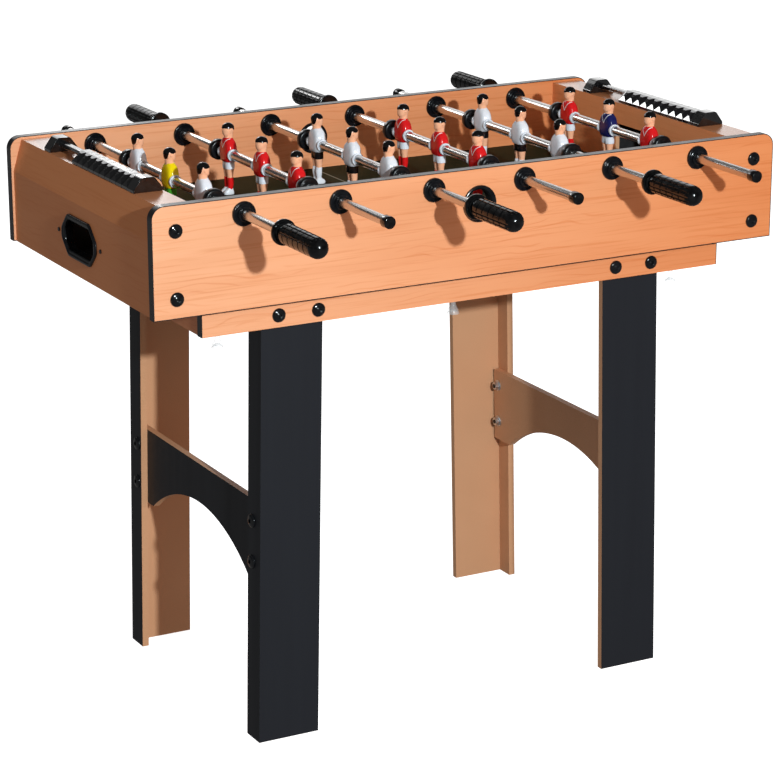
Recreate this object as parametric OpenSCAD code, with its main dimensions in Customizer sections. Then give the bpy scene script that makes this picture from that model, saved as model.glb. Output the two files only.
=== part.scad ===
// Six-rod table football game on four folded legs.
// X runs along the table, Y from the front side to the back, Z up.
// The origin is on the floor, midway between the legs. Units are millimetres.

/* [Table] */
// Length of the two side panels
table_l = 870; // [840:5:920]
// Width over the outer faces of the side panels
cabinet_w = 460; // [440:5:500]
// Height of the side panels' top edges
table_h = 708; // [680:1:760]

/* [Side panels] */
// Height of a side panel
panel_h = 136; // [130:1:150]
// Thickness of a side panel
panel_t = 12; // [10:0.5:16]
// Radius of a side panel's two upper corners
panel_r = 16; // [8:1:24]
// Thickness of the edge band around a panel
band_t = 1; // [0.5:0.1:2]

/* [End walls] */
// Thickness of the folded end wall board
wall_t = 6; // [4:0.5:8]
// Recess of the end walls from the ends of the side panels
wall_inset = 4; // [3.2:0.1:8]
// How far the bevel leans in
bevel_in = 12; // [8:1:20]
// Height of the bevel
bevel_h = 40.5; // [30:0.5:44]
// Width of the flat shelf on top of an end wall
shelf_w = 40; // [32:1:44]
// Drop of the shelf below the side panels' top edges
shelf_drop = 3.5; // [1:0.5:8]
// Width of a corner block
block_w = 24; // [20:1:24]
// Length of a corner block along Y
block_l = 20; // [14:1:24]

/* [Playfield] */
// Depth of the playing surface below the panels' top edges
field_depth = 86.5; // [84:0.5:92]
// Thickness of the playfield board
field_t = 5; // [3:0.5:8]
// Depth of the panel grooves that hold the playfield
groove_d = 4; // [2:0.5:5]

/* [Goals and ball return] */
// Width of a goal mouth
goal_w = 106; // [90:1:120]
// Height of a goal mouth above the playing surface
goal_h = 54.5; // [45:0.5:58]
// Wall thickness of the goal box
box_t = 2; // [1.5:0.1:3]
// Height of a ball return's centre below the playing surface
return_drop = 1.5; // [0:0.5:4]
// Width of a ball return's rim
return_w = 108; // [100:1:116]
// Height of a ball return's rim
return_h = 54; // [50:1:58]
// Width of a ball return's opening
return_open_w = 90; // [80:1:94]
// Height of a ball return's opening
return_open_h = 38; // [34:1:42]
// Thickness of a ball return's rim
return_rim_t = 3; // [2:0.1:3.2]
// Corner cut of a ball return's rim
return_cut = 20; // [12:1:24]
// Distance from a ball return's centre to its two box screws
box_screw_y = 66; // [62:1:70]
// Diameter of the ball entry hole
entry_d = 34; // [32:0.5:36]
// Depth of the ball entry's centre below the panels' top edges
entry_depth = 44; // [38:1:52]
// Diameter of the ball entry's outer flange
entry_flange_d = 46; // [44:1:50]

/* [Apron] */
// Length of the apron frame
apron_l = 732; // [700:2:760]
// How far the apron hangs below the side panels
apron_drop = 33.5; // [24:0.5:44]
// Recess of the apron's outer face from the side panels' outer faces
apron_inset = 19; // [17:0.5:26]
// Thickness of the apron's long boards
apron_t = 12; // [9:0.5:15]
// Thickness of the apron's end boards
apron_end_t = 9; // [6:0.5:12]
// Recess of the end boards from the ends of the long boards
apron_end_inset = 1.5; // [0:0.5:4]
// Mean distance of the outer suction feet from the ends of the apron
foot_inset = 45; // [35:1:85]
// Offset of all the suction feet along the apron
foot_shift = -22; // [-22:1:22]
// Diameter of a suction foot
foot_d = 16; // [12:1:20]
// Height of a suction foot
foot_h = 16; // [12:1:20]

/* [Legs] */
// Width of a leg's wide leaf
leg_w = 82.5; // [75:0.5:95]
// Depth of a leg's narrow leaf
leg_d = 35; // [32:1:50]
// Thickness of the leg board
leg_t = 9; // [7:0.5:12]
// Distance from the apron's end to a leg's outer face at the bolts
leg_inset = 84; // [70:1:100]
// Outward lean of the legs in degrees
leg_splay = 1.2; // [0:0.1:2]
// Distance from a leg's outer face to its outer apron bolt
leg_bolt_in = 17.5; // [12:0.5:20]
// Spacing of a pair of leg bolts
leg_bolt_pitch = 53; // [44:1:56]
// Height of the apron bolts above the apron's lower edge
leg_bolt_up = 15; // [12:0.5:20]

/* [Stretchers] */
// Height of a stretcher's top edge above the floor
stretcher_top = 302; // [260:1:400]
// Height of a stretcher board at its ends
stretcher_h = 102; // [95:1:130]
// Thickness of a stretcher
stretcher_t = 9; // [7:0.5:12]
// Rise of the arch in a stretcher's lower edge
arch_rise = 50; // [30:1:60]
// Span of the arch
arch_span = 290; // [220:2:300]
// Gap between a stretcher's ends and the wide leaves
stretcher_gap = 3; // [0.5:0.5:5]
// Distance from the wide leaf's outer face to the stretcher bolts
stretcher_bolt_in = 23; // [22:0.5:26]
// Distance from a stretcher's top edge down to its upper bolts
stretcher_bolt_down = 21.5; // [18:0.5:30]

/* [Rods] */
// Outside diameter of a rod
rod_d = 12; // [10:0.5:13]
// Wall thickness of a rod tube
rod_wall = 1.2; // [0.8:0.1:2]
// Drop of the rod axes below the panels' top edges
rod_drop = 20; // [18:0.5:22]
// Distance from a goal wall to the keeper's rod
keeper_gap = 61.5; // [60:0.5:72]
// Distance from a centred rod's side panel to the inner face of its handle
handle_out = 81; // [70:1:100]
// Distance from a centred rod's side panel to the end of its cap
cap_out = 108; // [100:1:120]
// Diameter of an end cap
cap_d = 15; // [14.5:0.5:17]
// Length of an end cap
cap_l = 13; // [10:0.5:16]
// Diameter of a rod bushing's flange
bush_d = 30; // [26:0.5:31]
// Thickness of a rod bushing's flange
bush_flange_t = 3.5; // [2.5:0.5:5]
// How far a bushing's sleeve stands out past its flange
bush_lip = 2; // [1:0.5:4]
// Wall thickness of a bushing's sleeve
bush_wall = 3.25; // [2.5:0.25:4]
// Diameter of a bumper ring
ring_d = 27; // [22:0.5:29]
// Length of a bumper ring along the rod
ring_l = 10; // [6:0.5:12]
// Distance from an outer man's centre to the bumper ring's centre
ring_gap = 29; // [26:0.5:36]

/* [Handles] */
// Length of a handle
handle_l = 100; // [92:0.5:125]
// Diameter of a handle's grip
grip_d = 25; // [22:0.5:28]
// Diameter of a handle's collar
collar_d = 31; // [28.5:0.5:34]
// Thickness of a handle's collar
collar_t = 6.5; // [4:0.5:8]
// Number of flutes around a grip
flutes = 16; // [10:1:20]
// Depth of a flute
flute_depth = 1; // [0.5:0.1:1.4]
// Length of rod inside a handle
handle_bore = 82; // [60:1:84]

/* [Men] */
// Spacing of the three men on a rod
men_pitch = 98; // [90:1:104]
// Height of a man's head above the rod axis
head_up = 40; // [38:0.5:42]
// Reach of a man's feet below the rod axis
foot_down = 52.5; // [50:0.5:54]
// Width of a man's shoulders
man_w = 27; // [22:0.5:28]
// Depth of a man's chest
man_t = 15; // [13:0.5:15]
// Diameter of the boss around the rod
boss_d = 16; // [15:0.5:18]
// Length of the boss along the rod
boss_l = 33; // [30:0.5:36]

/* [Scorers] */
// Length of a scorer over its two brackets
scorer_l = 282; // [270:2:300]
// Width of a bracket across the shelf
bracket_w = 38; // [28:0.5:39]
// Height of a bracket
bracket_h = 18; // [16:0.5:22]
// Length of a bracket along the shelf
bracket_l = 20; // [16:0.5:24]
// Diameter of the scorer bar
bar_d = 8; // [6:0.5:9]
// Height of the bar's axis above the shelf
bar_up = 9; // [7:0.5:10]
// Number of counters on a scorer
counters = 10; // [8:1:10]
// Length of one counter
counter_l = 17.2; // [15:0.2:18]
// Height of a counter above the shelf
counter_h = 16; // [15:0.5:18]

/* [Fasteners] */
// Diameter of the bolts
bolt_d = 6; // [5:0.5:6]
// Diameter of a bolt head
bolt_head_d = 17.5; // [14:0.5:18]
// Height of a bolt head
bolt_head_h = 4; // [3:0.5:5]
// Distance from a side panel's end to its bolts
panel_bolt_in = 30; // [29:0.5:33]
// Depth of the upper panel bolts below the panel's top edge
panel_bolt_down = 31; // [28:0.5:33]
// Height of the lower panel bolts above the panel's lower edge
panel_bolt_up = 23.5; // [20:0.5:26]
// Diameter of a leg nut's washer
washer_d = 16; // [14:0.5:16.5]
// Thickness of a leg nut's washer
washer_t = 1.4; // [1:0.1:2]
// Size of a leg nut across its corners
nut_d = 11; // [9:0.5:12]
// Height of a leg nut
nut_h = 5; // [4:0.5:6]

/* [Clearances] */
// Radial running clearance of the rods and the counters
run_gap = 0.05; // [0.03:0.01:0.08]
// Radial clearance of parts pressed on a rod
grip_gap = 0.02; // [0.01:0.01:0.05]
// Radial clearance of bolts and sleeves in their holes
hole_gap = 0.2; // [0.1:0.05:0.4]
// Gap between parts that stand beside each other
seat_gap = 0.3; // [0.2:0.05:0.4]

/* [Hidden] */
$fn = 48;

// Where each rod stands along its own axis, from left to right
rod_rest = [-21, -17, -18, -18, -8, -23];

beech = "#eba06c";
charcoal = "#2b2c30";
raw_board = "#c4946e";
black = "#141416";
chrome = "#c9ccd0";
turf = "#3c4a2e";

// Heights
panel_z = table_h - panel_h;
field_z = table_h - field_depth;
field_under = field_z - field_t;
shelf_z = table_h - shelf_drop;
crease_z = shelf_z - bevel_h;
rod_z = table_h - rod_drop;
entry_z = table_h - entry_depth;
apron_z = panel_z - apron_drop;
leg_bolt_z = apron_z + leg_bolt_up;
return_z = field_z - return_drop;

// Lengths along X, from the table's centre
wall_out = table_l / 2 - wall_inset;
shelf_out = wall_out - bevel_in;
goal_x = shelf_out - shelf_w;
gap_in = goal_x + wall_t;
gap_out = wall_out - wall_t;
bevel_a = atan(bevel_in / bevel_h);
inner_crease_z = crease_z - wall_t * tan(bevel_a / 2);
inner_shelf_x = shelf_out - wall_t * tan((90 - bevel_a) / 2);
rod_pitch = 2 * (goal_x - keeper_gap) / 5;
leg_x = apron_l / 2 - leg_inset;
leg_bolt_x = leg_x - leg_bolt_in;
panel_bolt_x = table_l / 2 - panel_bolt_in;

// Lengths along Y, from the table's centre
half_w = cabinet_w / 2;
well_y = half_w - panel_t;
apron_y = half_w - apron_inset;
leg_y = apron_y - apron_t;
stretcher_y = leg_y - leg_t - stretcher_gap;
stretcher_bolt_y = leg_y - stretcher_bolt_in;

// Radii and other fits
rod_r = rod_d / 2;
bore_r = rod_r + run_gap;
sleeve_r = bore_r + bush_wall;
bush_hole_r = sleeve_r + hole_gap;
bolt_r = bolt_d / 2;
bolt_hole_r = bolt_r + hole_gap;
entry_r = entry_d / 2;
entry_sleeve_t = 2;
entry_lip_t = 2.5;
entry_hole_r = entry_r + entry_sleeve_t + hole_gap;
box_screw_r = 1.5;
box_screw_head_r = 2.6;
box_screw_l = wall_t + 4;

// Vertical panel bolts, as heights
panel_bolt_zs = [table_h - panel_bolt_down, panel_z + panel_bolt_up];

function rod_x(i) = (i - 2.5) * rod_pitch;
function rod_side(i) = i % 2 == 0 ? 0 : 1;

// ---- helpers ----

module both_x() {
    children();
    mirror([1, 0, 0]) children();
}

module both_y() {
    children();
    mirror([0, 1, 0]) children();
}

module corners() both_x() both_y() children();

module y_cylinder(r, y0, y1) {
    translate([0, y0, 0]) rotate([-90, 0, 0]) cylinder(r = r, h = y1 - y0);
}

// Box given by its lowest and highest corners
module span(a, b) translate(a) cube(b - a);

// Outline drawn in X and Z, thick from y0 to y1
module xz_plate(y0, y1) translate([0, y1, 0]) rotate([90, 0, 0]) linear_extrude(y1 - y0) children();

// Outline drawn in Y and Z, thick from x0 to x1
module yz_plate(x0, x1) translate([x0, 0, 0]) rotate([90, 0, 90]) linear_extrude(x1 - x0) children();

// ---- side panels ----

module panel_outline(inset) {
    l = table_l - 2 * inset;
    h = panel_h - 2 * inset;
    r = panel_r - inset;
    translate([-l / 2, panel_z + inset]) {
        square([l, h - r]);
        translate([r, 0]) square([l - 2 * r, h]);
        for (x = [r, l - r]) translate([x, h - r]) circle(r);
    }
}

module panel_holes() {
    for (i = [0 : 5]) translate([rod_x(i), 0, rod_z])
        y_cylinder(bush_hole_r, well_y - 1, half_w + 1);
    translate([0, 0, entry_z]) y_cylinder(entry_hole_r, well_y - 1, half_w + 1);
    both_x() for (z = panel_bolt_zs) translate([panel_bolt_x, 0, z])
        y_cylinder(bolt_hole_r, well_y - 1, half_w + 1);
}

module side_panel() {
    color(beech) difference() {
        xz_plate(well_y, half_w) panel_outline(band_t);
        panel_holes();
        span([-goal_x - seat_gap, well_y - 1, field_under - seat_gap / 2],
             [goal_x + seat_gap, well_y + groove_d, field_z + seat_gap / 2]);
    }
}

module edge_bands() {
    color(black) {
        both_y() xz_plate(well_y, half_w) difference() {
            panel_outline(0);
            panel_outline(band_t);
        }
        difference() {
            corners() span([apron_l / 2 - band_t, leg_y, apron_z], [apron_l / 2, apron_y, field_under]);
            end_wall_space();
        }
    }
}

// ---- end walls ----

module return_outline(w, h, cut) {
    x = w / 2;
    y = h / 2;
    polygon([
        [-x + cut, -y], [x - cut, -y], [x, -y + cut], [x, y - cut],
        [x - cut, y], [-x + cut, y], [-x, y - cut], [-x, -y + cut]
    ]);
}

return_sleeve_w = (return_w + return_open_w) / 2;
return_sleeve_h = (return_h + return_open_h) / 2;

module end_wall() {
    color(beech) difference() {
        xz_plate(-well_y, well_y) polygon([
            [wall_out, panel_z], [wall_out, crease_z], [shelf_out, shelf_z], [goal_x, shelf_z],
            [goal_x, panel_z], [gap_in, panel_z], [gap_in, shelf_z - wall_t],
            [inner_shelf_x, shelf_z - wall_t], [gap_out, inner_crease_z], [gap_out, panel_z]
        ]);
        span([goal_x - 1, -goal_w / 2, field_z], [gap_in + 1, goal_w / 2, field_z + goal_h]);
        translate([0, 0, return_z]) yz_plate(gap_out - 1, wall_out + 1) return_outline(
            return_sleeve_w + 2 * hole_gap, return_sleeve_h + 2 * hole_gap, return_cut - hole_gap);
        both_y() translate([wall_out, box_screw_y, return_z]) rotate([0, -90, 0])
            cylinder(r = box_screw_r + hole_gap, h = 2 * wall_t);
    }
}

// ---- goal boxes and ball returns ----

box_side = box_t + 1;
box_y = goal_w / 2 + box_side;
box_top = field_z + goal_h + box_side;
box_floor = return_z - return_sleeve_h / 2 - hole_gap - box_side;
ear_r = 5;

// Open tube between the two leaves of an end wall, cut to lie under the bevel
module goal_boxes() {
    color(black) both_x() difference() {
        union() {
            xz_plate(-box_y, box_y) polygon([
                [gap_in, box_floor], [gap_out, box_floor], [gap_out, inner_crease_z],
                [gap_out - (box_top - inner_crease_z) * tan(bevel_a), box_top], [gap_in, box_top]
            ]);
            both_y() yz_plate(gap_out - box_t, gap_out) union() {
                translate([box_y - 1, return_z - ear_r]) square([box_screw_y - box_y + 1, 2 * ear_r]);
                translate([box_screw_y, return_z]) circle(ear_r);
            }
        }
        span([gap_in - 1, -box_y + box_t, box_floor + box_t],
             [gap_out + 1, box_y - box_t, box_top - box_t]);
        both_y() translate([gap_out + 1, box_screw_y, return_z]) rotate([0, -90, 0])
            cylinder(r = box_screw_r + grip_gap, h = box_t + 2);
    }
}

module return_rims() {
    color(black) both_x() translate([0, 0, return_z]) difference() {
        union() {
            yz_plate(wall_out, wall_out + return_rim_t) return_outline(return_w, return_h, return_cut);
            yz_plate(gap_out, wall_out + 1)
                return_outline(return_sleeve_w, return_sleeve_h, return_cut);
        }
        yz_plate(gap_out - 1, wall_out + return_rim_t + 1)
            return_outline(return_open_w, return_open_h, return_cut / 2);
    }
}

module box_screws() {
    color(black) both_x() both_y() translate([wall_out, box_screw_y, return_z]) {
        rotate([0, 90, 0]) cylinder(r = box_screw_head_r, h = 1.5);
        rotate([0, -90, 0]) cylinder(r = box_screw_r, h = box_screw_l);
    }
}

module ball_entries() {
    color(black) both_y() translate([0, 0, entry_z]) difference() {
        union() {
            y_cylinder(entry_flange_d / 2, half_w, half_w + 3);
            y_cylinder(entry_r + entry_sleeve_t, well_y - entry_lip_t, half_w + 1);
            y_cylinder(entry_flange_d / 2 - 2, well_y - entry_lip_t, well_y);
        }
        y_cylinder(entry_r, well_y - entry_lip_t - 1, half_w + 4);
        translate([0, half_w, 0]) rotate([-90, 0, 0])
            cylinder(r1 = entry_r, r2 = entry_r + 3, h = 3.01);
    }
}

// ---- playfield and blocks ----

module playfield() {
    y = well_y + groove_d - seat_gap;
    color(turf) span([-goal_x, -y, field_under], [goal_x, y, field_z]);
}

module corner_blocks() {
    color(raw_board) corners() difference() {
        span([gap_in, well_y - block_l, panel_z + 4],
             [gap_in + block_w, well_y, panel_bolt_zs[0] + 13]);
        for (z = panel_bolt_zs) translate([panel_bolt_x, 0, z])
            y_cylinder(bolt_r + grip_gap, well_y - block_l - 1, well_y + 1);
    }
}

// ---- apron ----

module apron_bolt_holes() {
    both_x() for (x = [leg_bolt_x, leg_bolt_x - leg_bolt_pitch]) translate([x, 0, leg_bolt_z])
        y_cylinder(bolt_hole_r, leg_y - leg_t - 1, apron_y + 1);
}

// Room for the end walls and all that stands behind them
module end_wall_space() {
    x = goal_x - seat_gap;
    both_x() span([x, -half_w, panel_z - seat_gap], [x + table_l, half_w, table_h]);
}

module apron_board() {
    x = apron_l / 2 - band_t;
    color(beech) difference() {
        span([-x, leg_y, apron_z], [x, apron_y, field_under]);
        apron_bolt_holes();
        end_wall_space();
    }
}

module apron_ends() {
    x = apron_l / 2 - apron_end_inset;
    color(beech) difference() {
        both_x() span([x - apron_end_t, -leg_y, apron_z], [x, leg_y, field_under]);
        end_wall_space();
    }
}

module suction_foot() {
    r = foot_d / 2;
    rotate_extrude() polygon([
        [0, 0], [3.5, 0], [3.5, -foot_h * 0.35], [r * 0.75, -foot_h * 0.6], [r, -foot_h],
        [r - 1.2, -foot_h], [r * 0.55, -foot_h * 0.75], [0, -foot_h * 0.65]
    ]);
}

module suction_feet() {
    y = (apron_y + leg_y) / 2;
    color("#e8eef0", 0.5) both_y() for (k = [-1 : 1])
        translate([foot_shift + k * (apron_l / 2 - foot_inset), y, apron_z]) suction_foot();
}

// ---- legs and stretchers, drawn for the corner at +X +Y ----

module lean() {
    translate([0, 0, leg_bolt_z]) rotate([0, -leg_splay, 0]) translate([0, 0, -leg_bolt_z]) children();
}

stretcher_bolt_zs = [for (k = [0, 1]) stretcher_top - stretcher_bolt_down - k * leg_bolt_pitch];

module leg() {
    top = field_under - seat_gap;
    color(charcoal) difference() {
        intersection() {
            lean() {
                span([leg_x - leg_w, leg_y - leg_t, -20], [leg_x, leg_y, table_h]);
                span([leg_x - leg_t, leg_y - leg_d, -20], [leg_x, leg_y, table_h]);
            }
            span([0, 0, 0], [table_l, cabinet_w, top]);
        }
        apron_bolt_holes();
        lean() for (z = stretcher_bolt_zs) translate([leg_x - leg_t - 1, stretcher_bolt_y, z])
            rotate([0, 90, 0]) cylinder(r = bolt_hole_r, h = leg_t + 2);
    }
}

module stretcher() {
    arch_r = (pow(arch_span / 2, 2) + arch_rise * arch_rise) / (2 * arch_rise);
    low = stretcher_top - stretcher_h;
    x1 = leg_x - leg_t;
    color(charcoal) lean() difference() {
        yz_plate(x1 - stretcher_t, x1) difference() {
            translate([-stretcher_y, low]) square([2 * stretcher_y, stretcher_h]);
            translate([0, low + arch_rise - arch_r]) circle(arch_r, $fn = 180);
        }
        both_y() for (z = stretcher_bolt_zs) translate([x1 - stretcher_t - 1, stretcher_bolt_y, z])
            rotate([0, 90, 0]) cylinder(r = bolt_hole_r, h = stretcher_t + 2);
    }
}

// ---- fasteners ----

// Button head on the face at z = 0, shank below it
module bolt(shank) {
    r = bolt_head_d / 2;
    difference() {
        union() {
            rotate_extrude() polygon([
                [0, 0], [r, 0], [r, 0.8], [r * 0.88, bolt_head_h * 0.6], [r * 0.6, bolt_head_h * 0.92],
                [0, bolt_head_h]
            ]);
            translate([0, 0, -shank]) cylinder(r = bolt_r, h = shank + 1);
        }
        translate([0, 0, bolt_head_h - 2.5]) cylinder(r = 2.4, h = 4, $fn = 6);
    }
}

module panel_bolts() {
    color(black) corners() for (z = panel_bolt_zs)
        translate([panel_bolt_x, half_w, z]) rotate([-90, 0, 0]) bolt(panel_t + block_l - 2);
}

// Places a bolt or nut at each of the four apron bolts of one leg
module at_apron_bolts(y) {
    for (x = [leg_bolt_x, leg_bolt_x - leg_bolt_pitch])
        translate([x, y, leg_bolt_z]) rotate([-90, 0, 0]) children();
}

module at_stretcher_bolts(x) {
    lean() for (z = stretcher_bolt_zs) translate([x, stretcher_bolt_y, z]) rotate([0, 90, 0]) children();
}

nut_stack = washer_t + nut_h + 1;

module leg_bolts() {
    color(black) corners() {
        at_apron_bolts(apron_y) bolt(apron_t + leg_t + nut_stack);
        at_stretcher_bolts(leg_x) bolt(leg_t + stretcher_t + nut_stack);
    }
}

// Washer and nut below the face at z = 0
module nut() {
    difference() {
        union() {
            translate([0, 0, -washer_t]) cylinder(r = washer_d / 2, h = washer_t);
            translate([0, 0, -washer_t - nut_h]) cylinder(r = nut_d / 2, h = nut_h, $fn = 6);
        }
        translate([0, 0, -washer_t - nut_h - 1]) cylinder(r = bolt_r + grip_gap, h = washer_t + nut_h + 2);
    }
}

module leg_nuts() {
    color(chrome) corners() {
        at_apron_bolts(leg_y - leg_t) nut();
        at_stretcher_bolts(leg_x - leg_t - stretcher_t) nut();
    }
}

// ---- rod bushings ----

bush_sleeve_in = well_y - bush_flange_t - bush_lip;
bush_sleeve_out = half_w + bush_flange_t + bush_lip;

// Sleeve with its outer flange
module bushing() {
    difference() {
        union() {
            y_cylinder(sleeve_r, bush_sleeve_in, bush_sleeve_out);
            translate([0, half_w, 0]) rotate([-90, 0, 0]) flange();
        }
        y_cylinder(bore_r, bush_sleeve_in - 1, bush_sleeve_out + 1);
    }
}

module flange() {
    r = bush_d / 2;
    rotate_extrude() polygon([[0, 0], [r, 0], [r, bush_flange_t - 1.2], [r - 1.2, bush_flange_t],
                              [0, bush_flange_t]]);
}

// Ring that holds the sleeve on the inner face
module bushing_ring() {
    difference() {
        translate([0, well_y, 0]) rotate([90, 0, 0]) flange();
        y_cylinder(sleeve_r + grip_gap, well_y - bush_flange_t - 1, well_y + 1);
    }
}

module rod_bushings() {
    color(black) both_y() for (i = [0 : 5]) translate([rod_x(i), 0, rod_z]) {
        bushing();
        bushing_ring();
    }
}

// ---- rods: drawn with the handle at the back, then mirrored for handles at the front ----

module place_rod(i) {
    translate([rod_x(i), rod_rest[i], rod_z]) mirror([0, rod_side(i) == 0 ? 1 : 0, 0]) children();
}

handle_y = half_w + handle_out;
cap_end = half_w + cap_out;
cap_end_t = 2;

module rod_tube(i) {
    color(chrome) place_rod(i) difference() {
        y_cylinder(rod_r, cap_end_t - cap_end, handle_y + handle_bore);
        y_cylinder(rod_r - rod_wall, -cap_end, handle_y + handle_bore + 1);
    }
}

module handle(i) {
    rg = grip_d / 2;
    rc = collar_d / 2;
    neck = rg - 2.5;
    straight = handle_l - rg;
    color(black) place_rod(i) translate([0, handle_y, 0]) rotate([-90, 0, 0]) difference() {
        union() {
            rotate_extrude() polygon([
                [0, 0], [rc - 1.5, 0], [rc, 1.5], [rc, collar_t - 2], [rc - 2, collar_t],
                [neck, collar_t], [neck, collar_t + 5], [rg - 0.8, collar_t + 8], [rg, straight],
                [0, straight]
            ]);
            translate([0, 0, straight]) intersection() {
                sphere(rg);
                cylinder(r = rg + 1, h = rg + 1);
            }
        }
        for (k = [0 : flutes - 1]) rotate([0, 0, k * 360 / flutes])
            translate([rg + 1.2 - flute_depth, 0, collar_t + 9]) cylinder(r = 1.2, h = handle_l, $fn = 16);
        translate([0, 0, -1]) cylinder(r = rod_r + grip_gap, h = handle_bore + seat_gap + 1);
    }
}

module cap(i) {
    r = cap_d / 2;
    color(black) place_rod(i) translate([0, -cap_end, 0]) rotate([-90, 0, 0]) difference() {
        rotate_extrude() polygon([[0, 0], [r - 1.5, 0], [r, 1.5], [r, cap_l], [0, cap_l]]);
        translate([0, 0, cap_end_t]) cylinder(r = rod_r + grip_gap, h = cap_l);
    }
}

module rings(i) {
    r = ring_d / 2;
    color(black) place_rod(i) both_y() translate([0, men_pitch + ring_gap - ring_l / 2, 0])
        rotate([-90, 0, 0]) difference() {
            rotate_extrude() polygon([
                [0, 0], [r - 1.5, 0], [r, 1.5], [r, ring_l - 1.5], [r - 1.5, ring_l], [0, ring_l]
            ]);
            translate([0, 0, -1]) cylinder(r = bore_r, h = ring_l + 2);
        }
}

// ---- men: drawn facing +X, with the rod axis at the origin ----

shirt_top = 20;
waist = -7;
hip = -19;
ankle = -45;
head_r = 7;

module man_side() {
    b = man_t / 2;
    f = -foot_down;
    polygon([
        [-3.5, shirt_top], [3.5, shirt_top], [b, shirt_top - 6], [b, waist], [b - 1, hip],
        [3.2, hip - 12], [4, ankle], [9, ankle - 4], [9, f], [-5, f], [-5, ankle], [-4.5, hip - 12],
        [-b + 1, hip], [-b, waist], [-b + 1, shirt_top - 12], [-b + 1, shirt_top - 4]
    ]);
}

module man_front() {
    w = man_w / 2;
    polygon([
        [-4, shirt_top], [4, shirt_top], [w - 2.5, shirt_top - 3], [w, shirt_top - 9], [w, waist],
        [w - 2.5, waist - 2], [w - 3, hip], [6.5, ankle], [7.5, ankle - 3], [7.5, -foot_down],
        [-7.5, -foot_down], [-7.5, ankle - 3], [-6.5, ankle], [-w + 3, hip], [-w + 2.5, waist - 2],
        [-w, waist], [-w, shirt_top - 9], [-w + 2.5, shirt_top - 3]
    ]);
}

module man() {
    difference() {
        union() {
            intersection() {
                xz_plate(-man_w, man_w) man_side();
                yz_plate(-man_t, man_t) man_front();
            }
            translate([0, 0, shirt_top - 2]) cylinder(r = 3.8, h = head_up - shirt_top - head_r + 2);
            translate([0, 0, head_up - head_r]) sphere(head_r);
            y_cylinder(boss_d / 2, -boss_l / 2, boss_l / 2);
        }
        y_cylinder(rod_r + grip_gap, -boss_l, boss_l);
    }
}

// Odd rods carry the white team, which plays towards +X
module men(i) {
    white = rod_side(i) == 0;
    translate([rod_x(i), rod_rest[i], rod_z]) for (k = [-1 : 1])
        color(k == 0 && i == 0 ? "#e8d21c" : k == 0 && i == 5 ? "#1c2350" : white ? "white" : "#c8201e")
            translate([0, k * men_pitch, 0]) mirror([white ? 0 : 1, 0, 0]) man();
}

// ---- scorers ----

bar_r = bar_d / 2;
scorer_x = (shelf_out + goal_x) / 2;
bar_y = scorer_l / 2 - bracket_l;

// Cross-section of a bracket or a counter, standing on z = 0
module scorer_section(w, h) {
    polygon([[-w / 2, 0], [w / 2, 0], [w / 2, h * 0.22], [w * 0.24, h], [-w * 0.24, h],
             [-w / 2, h * 0.22]]);
}

module scorer_rails() {
    color(black) both_x() translate([scorer_x, 0, shelf_z]) {
        both_y() xz_plate(bar_y, bar_y + bracket_l) scorer_section(bracket_w, bracket_h);
        translate([0, 0, bar_up]) y_cylinder(bar_r, -bar_y - 1, bar_y + 1);
    }
}

// Counter k, counted from the front bracket, with a bevel at each end of its back
module counter(k) {
    y0 = -bar_y + k * counter_l + seat_gap;
    y1 = -bar_y + (k + 1) * counter_l;
    top = counter_h - seat_gap;
    translate([scorer_x, 0, shelf_z + seat_gap]) difference() {
        xz_plate(y0, y1) scorer_section(bracket_w - 1, top);
        for (y = [y0, y1]) yz_plate(-bracket_w, bracket_w)
            polygon([[y - 3.2, top + 1], [y + 3.2, top + 1], [y, top * 0.45]]);
        translate([0, 0, bar_up - seat_gap]) y_cylinder(bar_r + run_gap, y0 - 1, y1 + 1);
    }
}

module counter_first() color(black) counter(counters - 1);

module counter_stack() color(black) for (k = [0 : counters - 2]) counter(k);

// ---- nodes ----

mirror([0, 1, 0]) side_panel();  // front_panel
side_panel();  // back_panel
edge_bands();
mirror([1, 0, 0]) end_wall();  // end_wall_left
end_wall();  // end_wall_right
goal_boxes();
return_rims();
box_screws();
playfield();
corner_blocks();
mirror([0, 1, 0]) apron_board();  // apron_front
apron_board();  // apron_back
apron_ends();
suction_feet();
mirror([1, 0, 0]) mirror([0, 1, 0]) leg();  // leg_front_left
mirror([0, 1, 0]) leg();  // leg_front_right
mirror([1, 0, 0]) leg();  // leg_back_left
leg();  // leg_back_right
mirror([1, 0, 0]) stretcher();  // stretcher_left
stretcher();  // stretcher_right
panel_bolts();
leg_bolts();
leg_nuts();
rod_bushings();
ball_entries();
scorer_rails();
rod_tube(0);  // white_keeper_tube
handle(0);  // white_keeper_handle
cap(0);  // white_keeper_cap
men(0);  // white_keeper_men
rings(0);  // white_keeper_rings
rod_tube(1);  // red_attack_tube
handle(1);  // red_attack_handle
cap(1);  // red_attack_cap
men(1);  // red_attack_men
rings(1);  // red_attack_rings
rod_tube(2);  // white_midfield_tube
handle(2);  // white_midfield_handle
cap(2);  // white_midfield_cap
men(2);  // white_midfield_men
rings(2);  // white_midfield_rings
rod_tube(3);  // red_midfield_tube
handle(3);  // red_midfield_handle
cap(3);  // red_midfield_cap
men(3);  // red_midfield_men
rings(3);  // red_midfield_rings
rod_tube(4);  // white_attack_tube
handle(4);  // white_attack_handle
cap(4);  // white_attack_cap
men(4);  // white_attack_men
rings(4);  // white_attack_rings
rod_tube(5);  // red_keeper_tube
handle(5);  // red_keeper_handle
cap(5);  // red_keeper_cap
men(5);  // red_keeper_men
rings(5);  // red_keeper_rings
mirror([1, 0, 0]) counter_first();  // left_counter_first
mirror([1, 0, 0]) counter_stack();  // left_counters
counter_first();  // right_counter_first
counter_stack();  // right_counters
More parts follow.
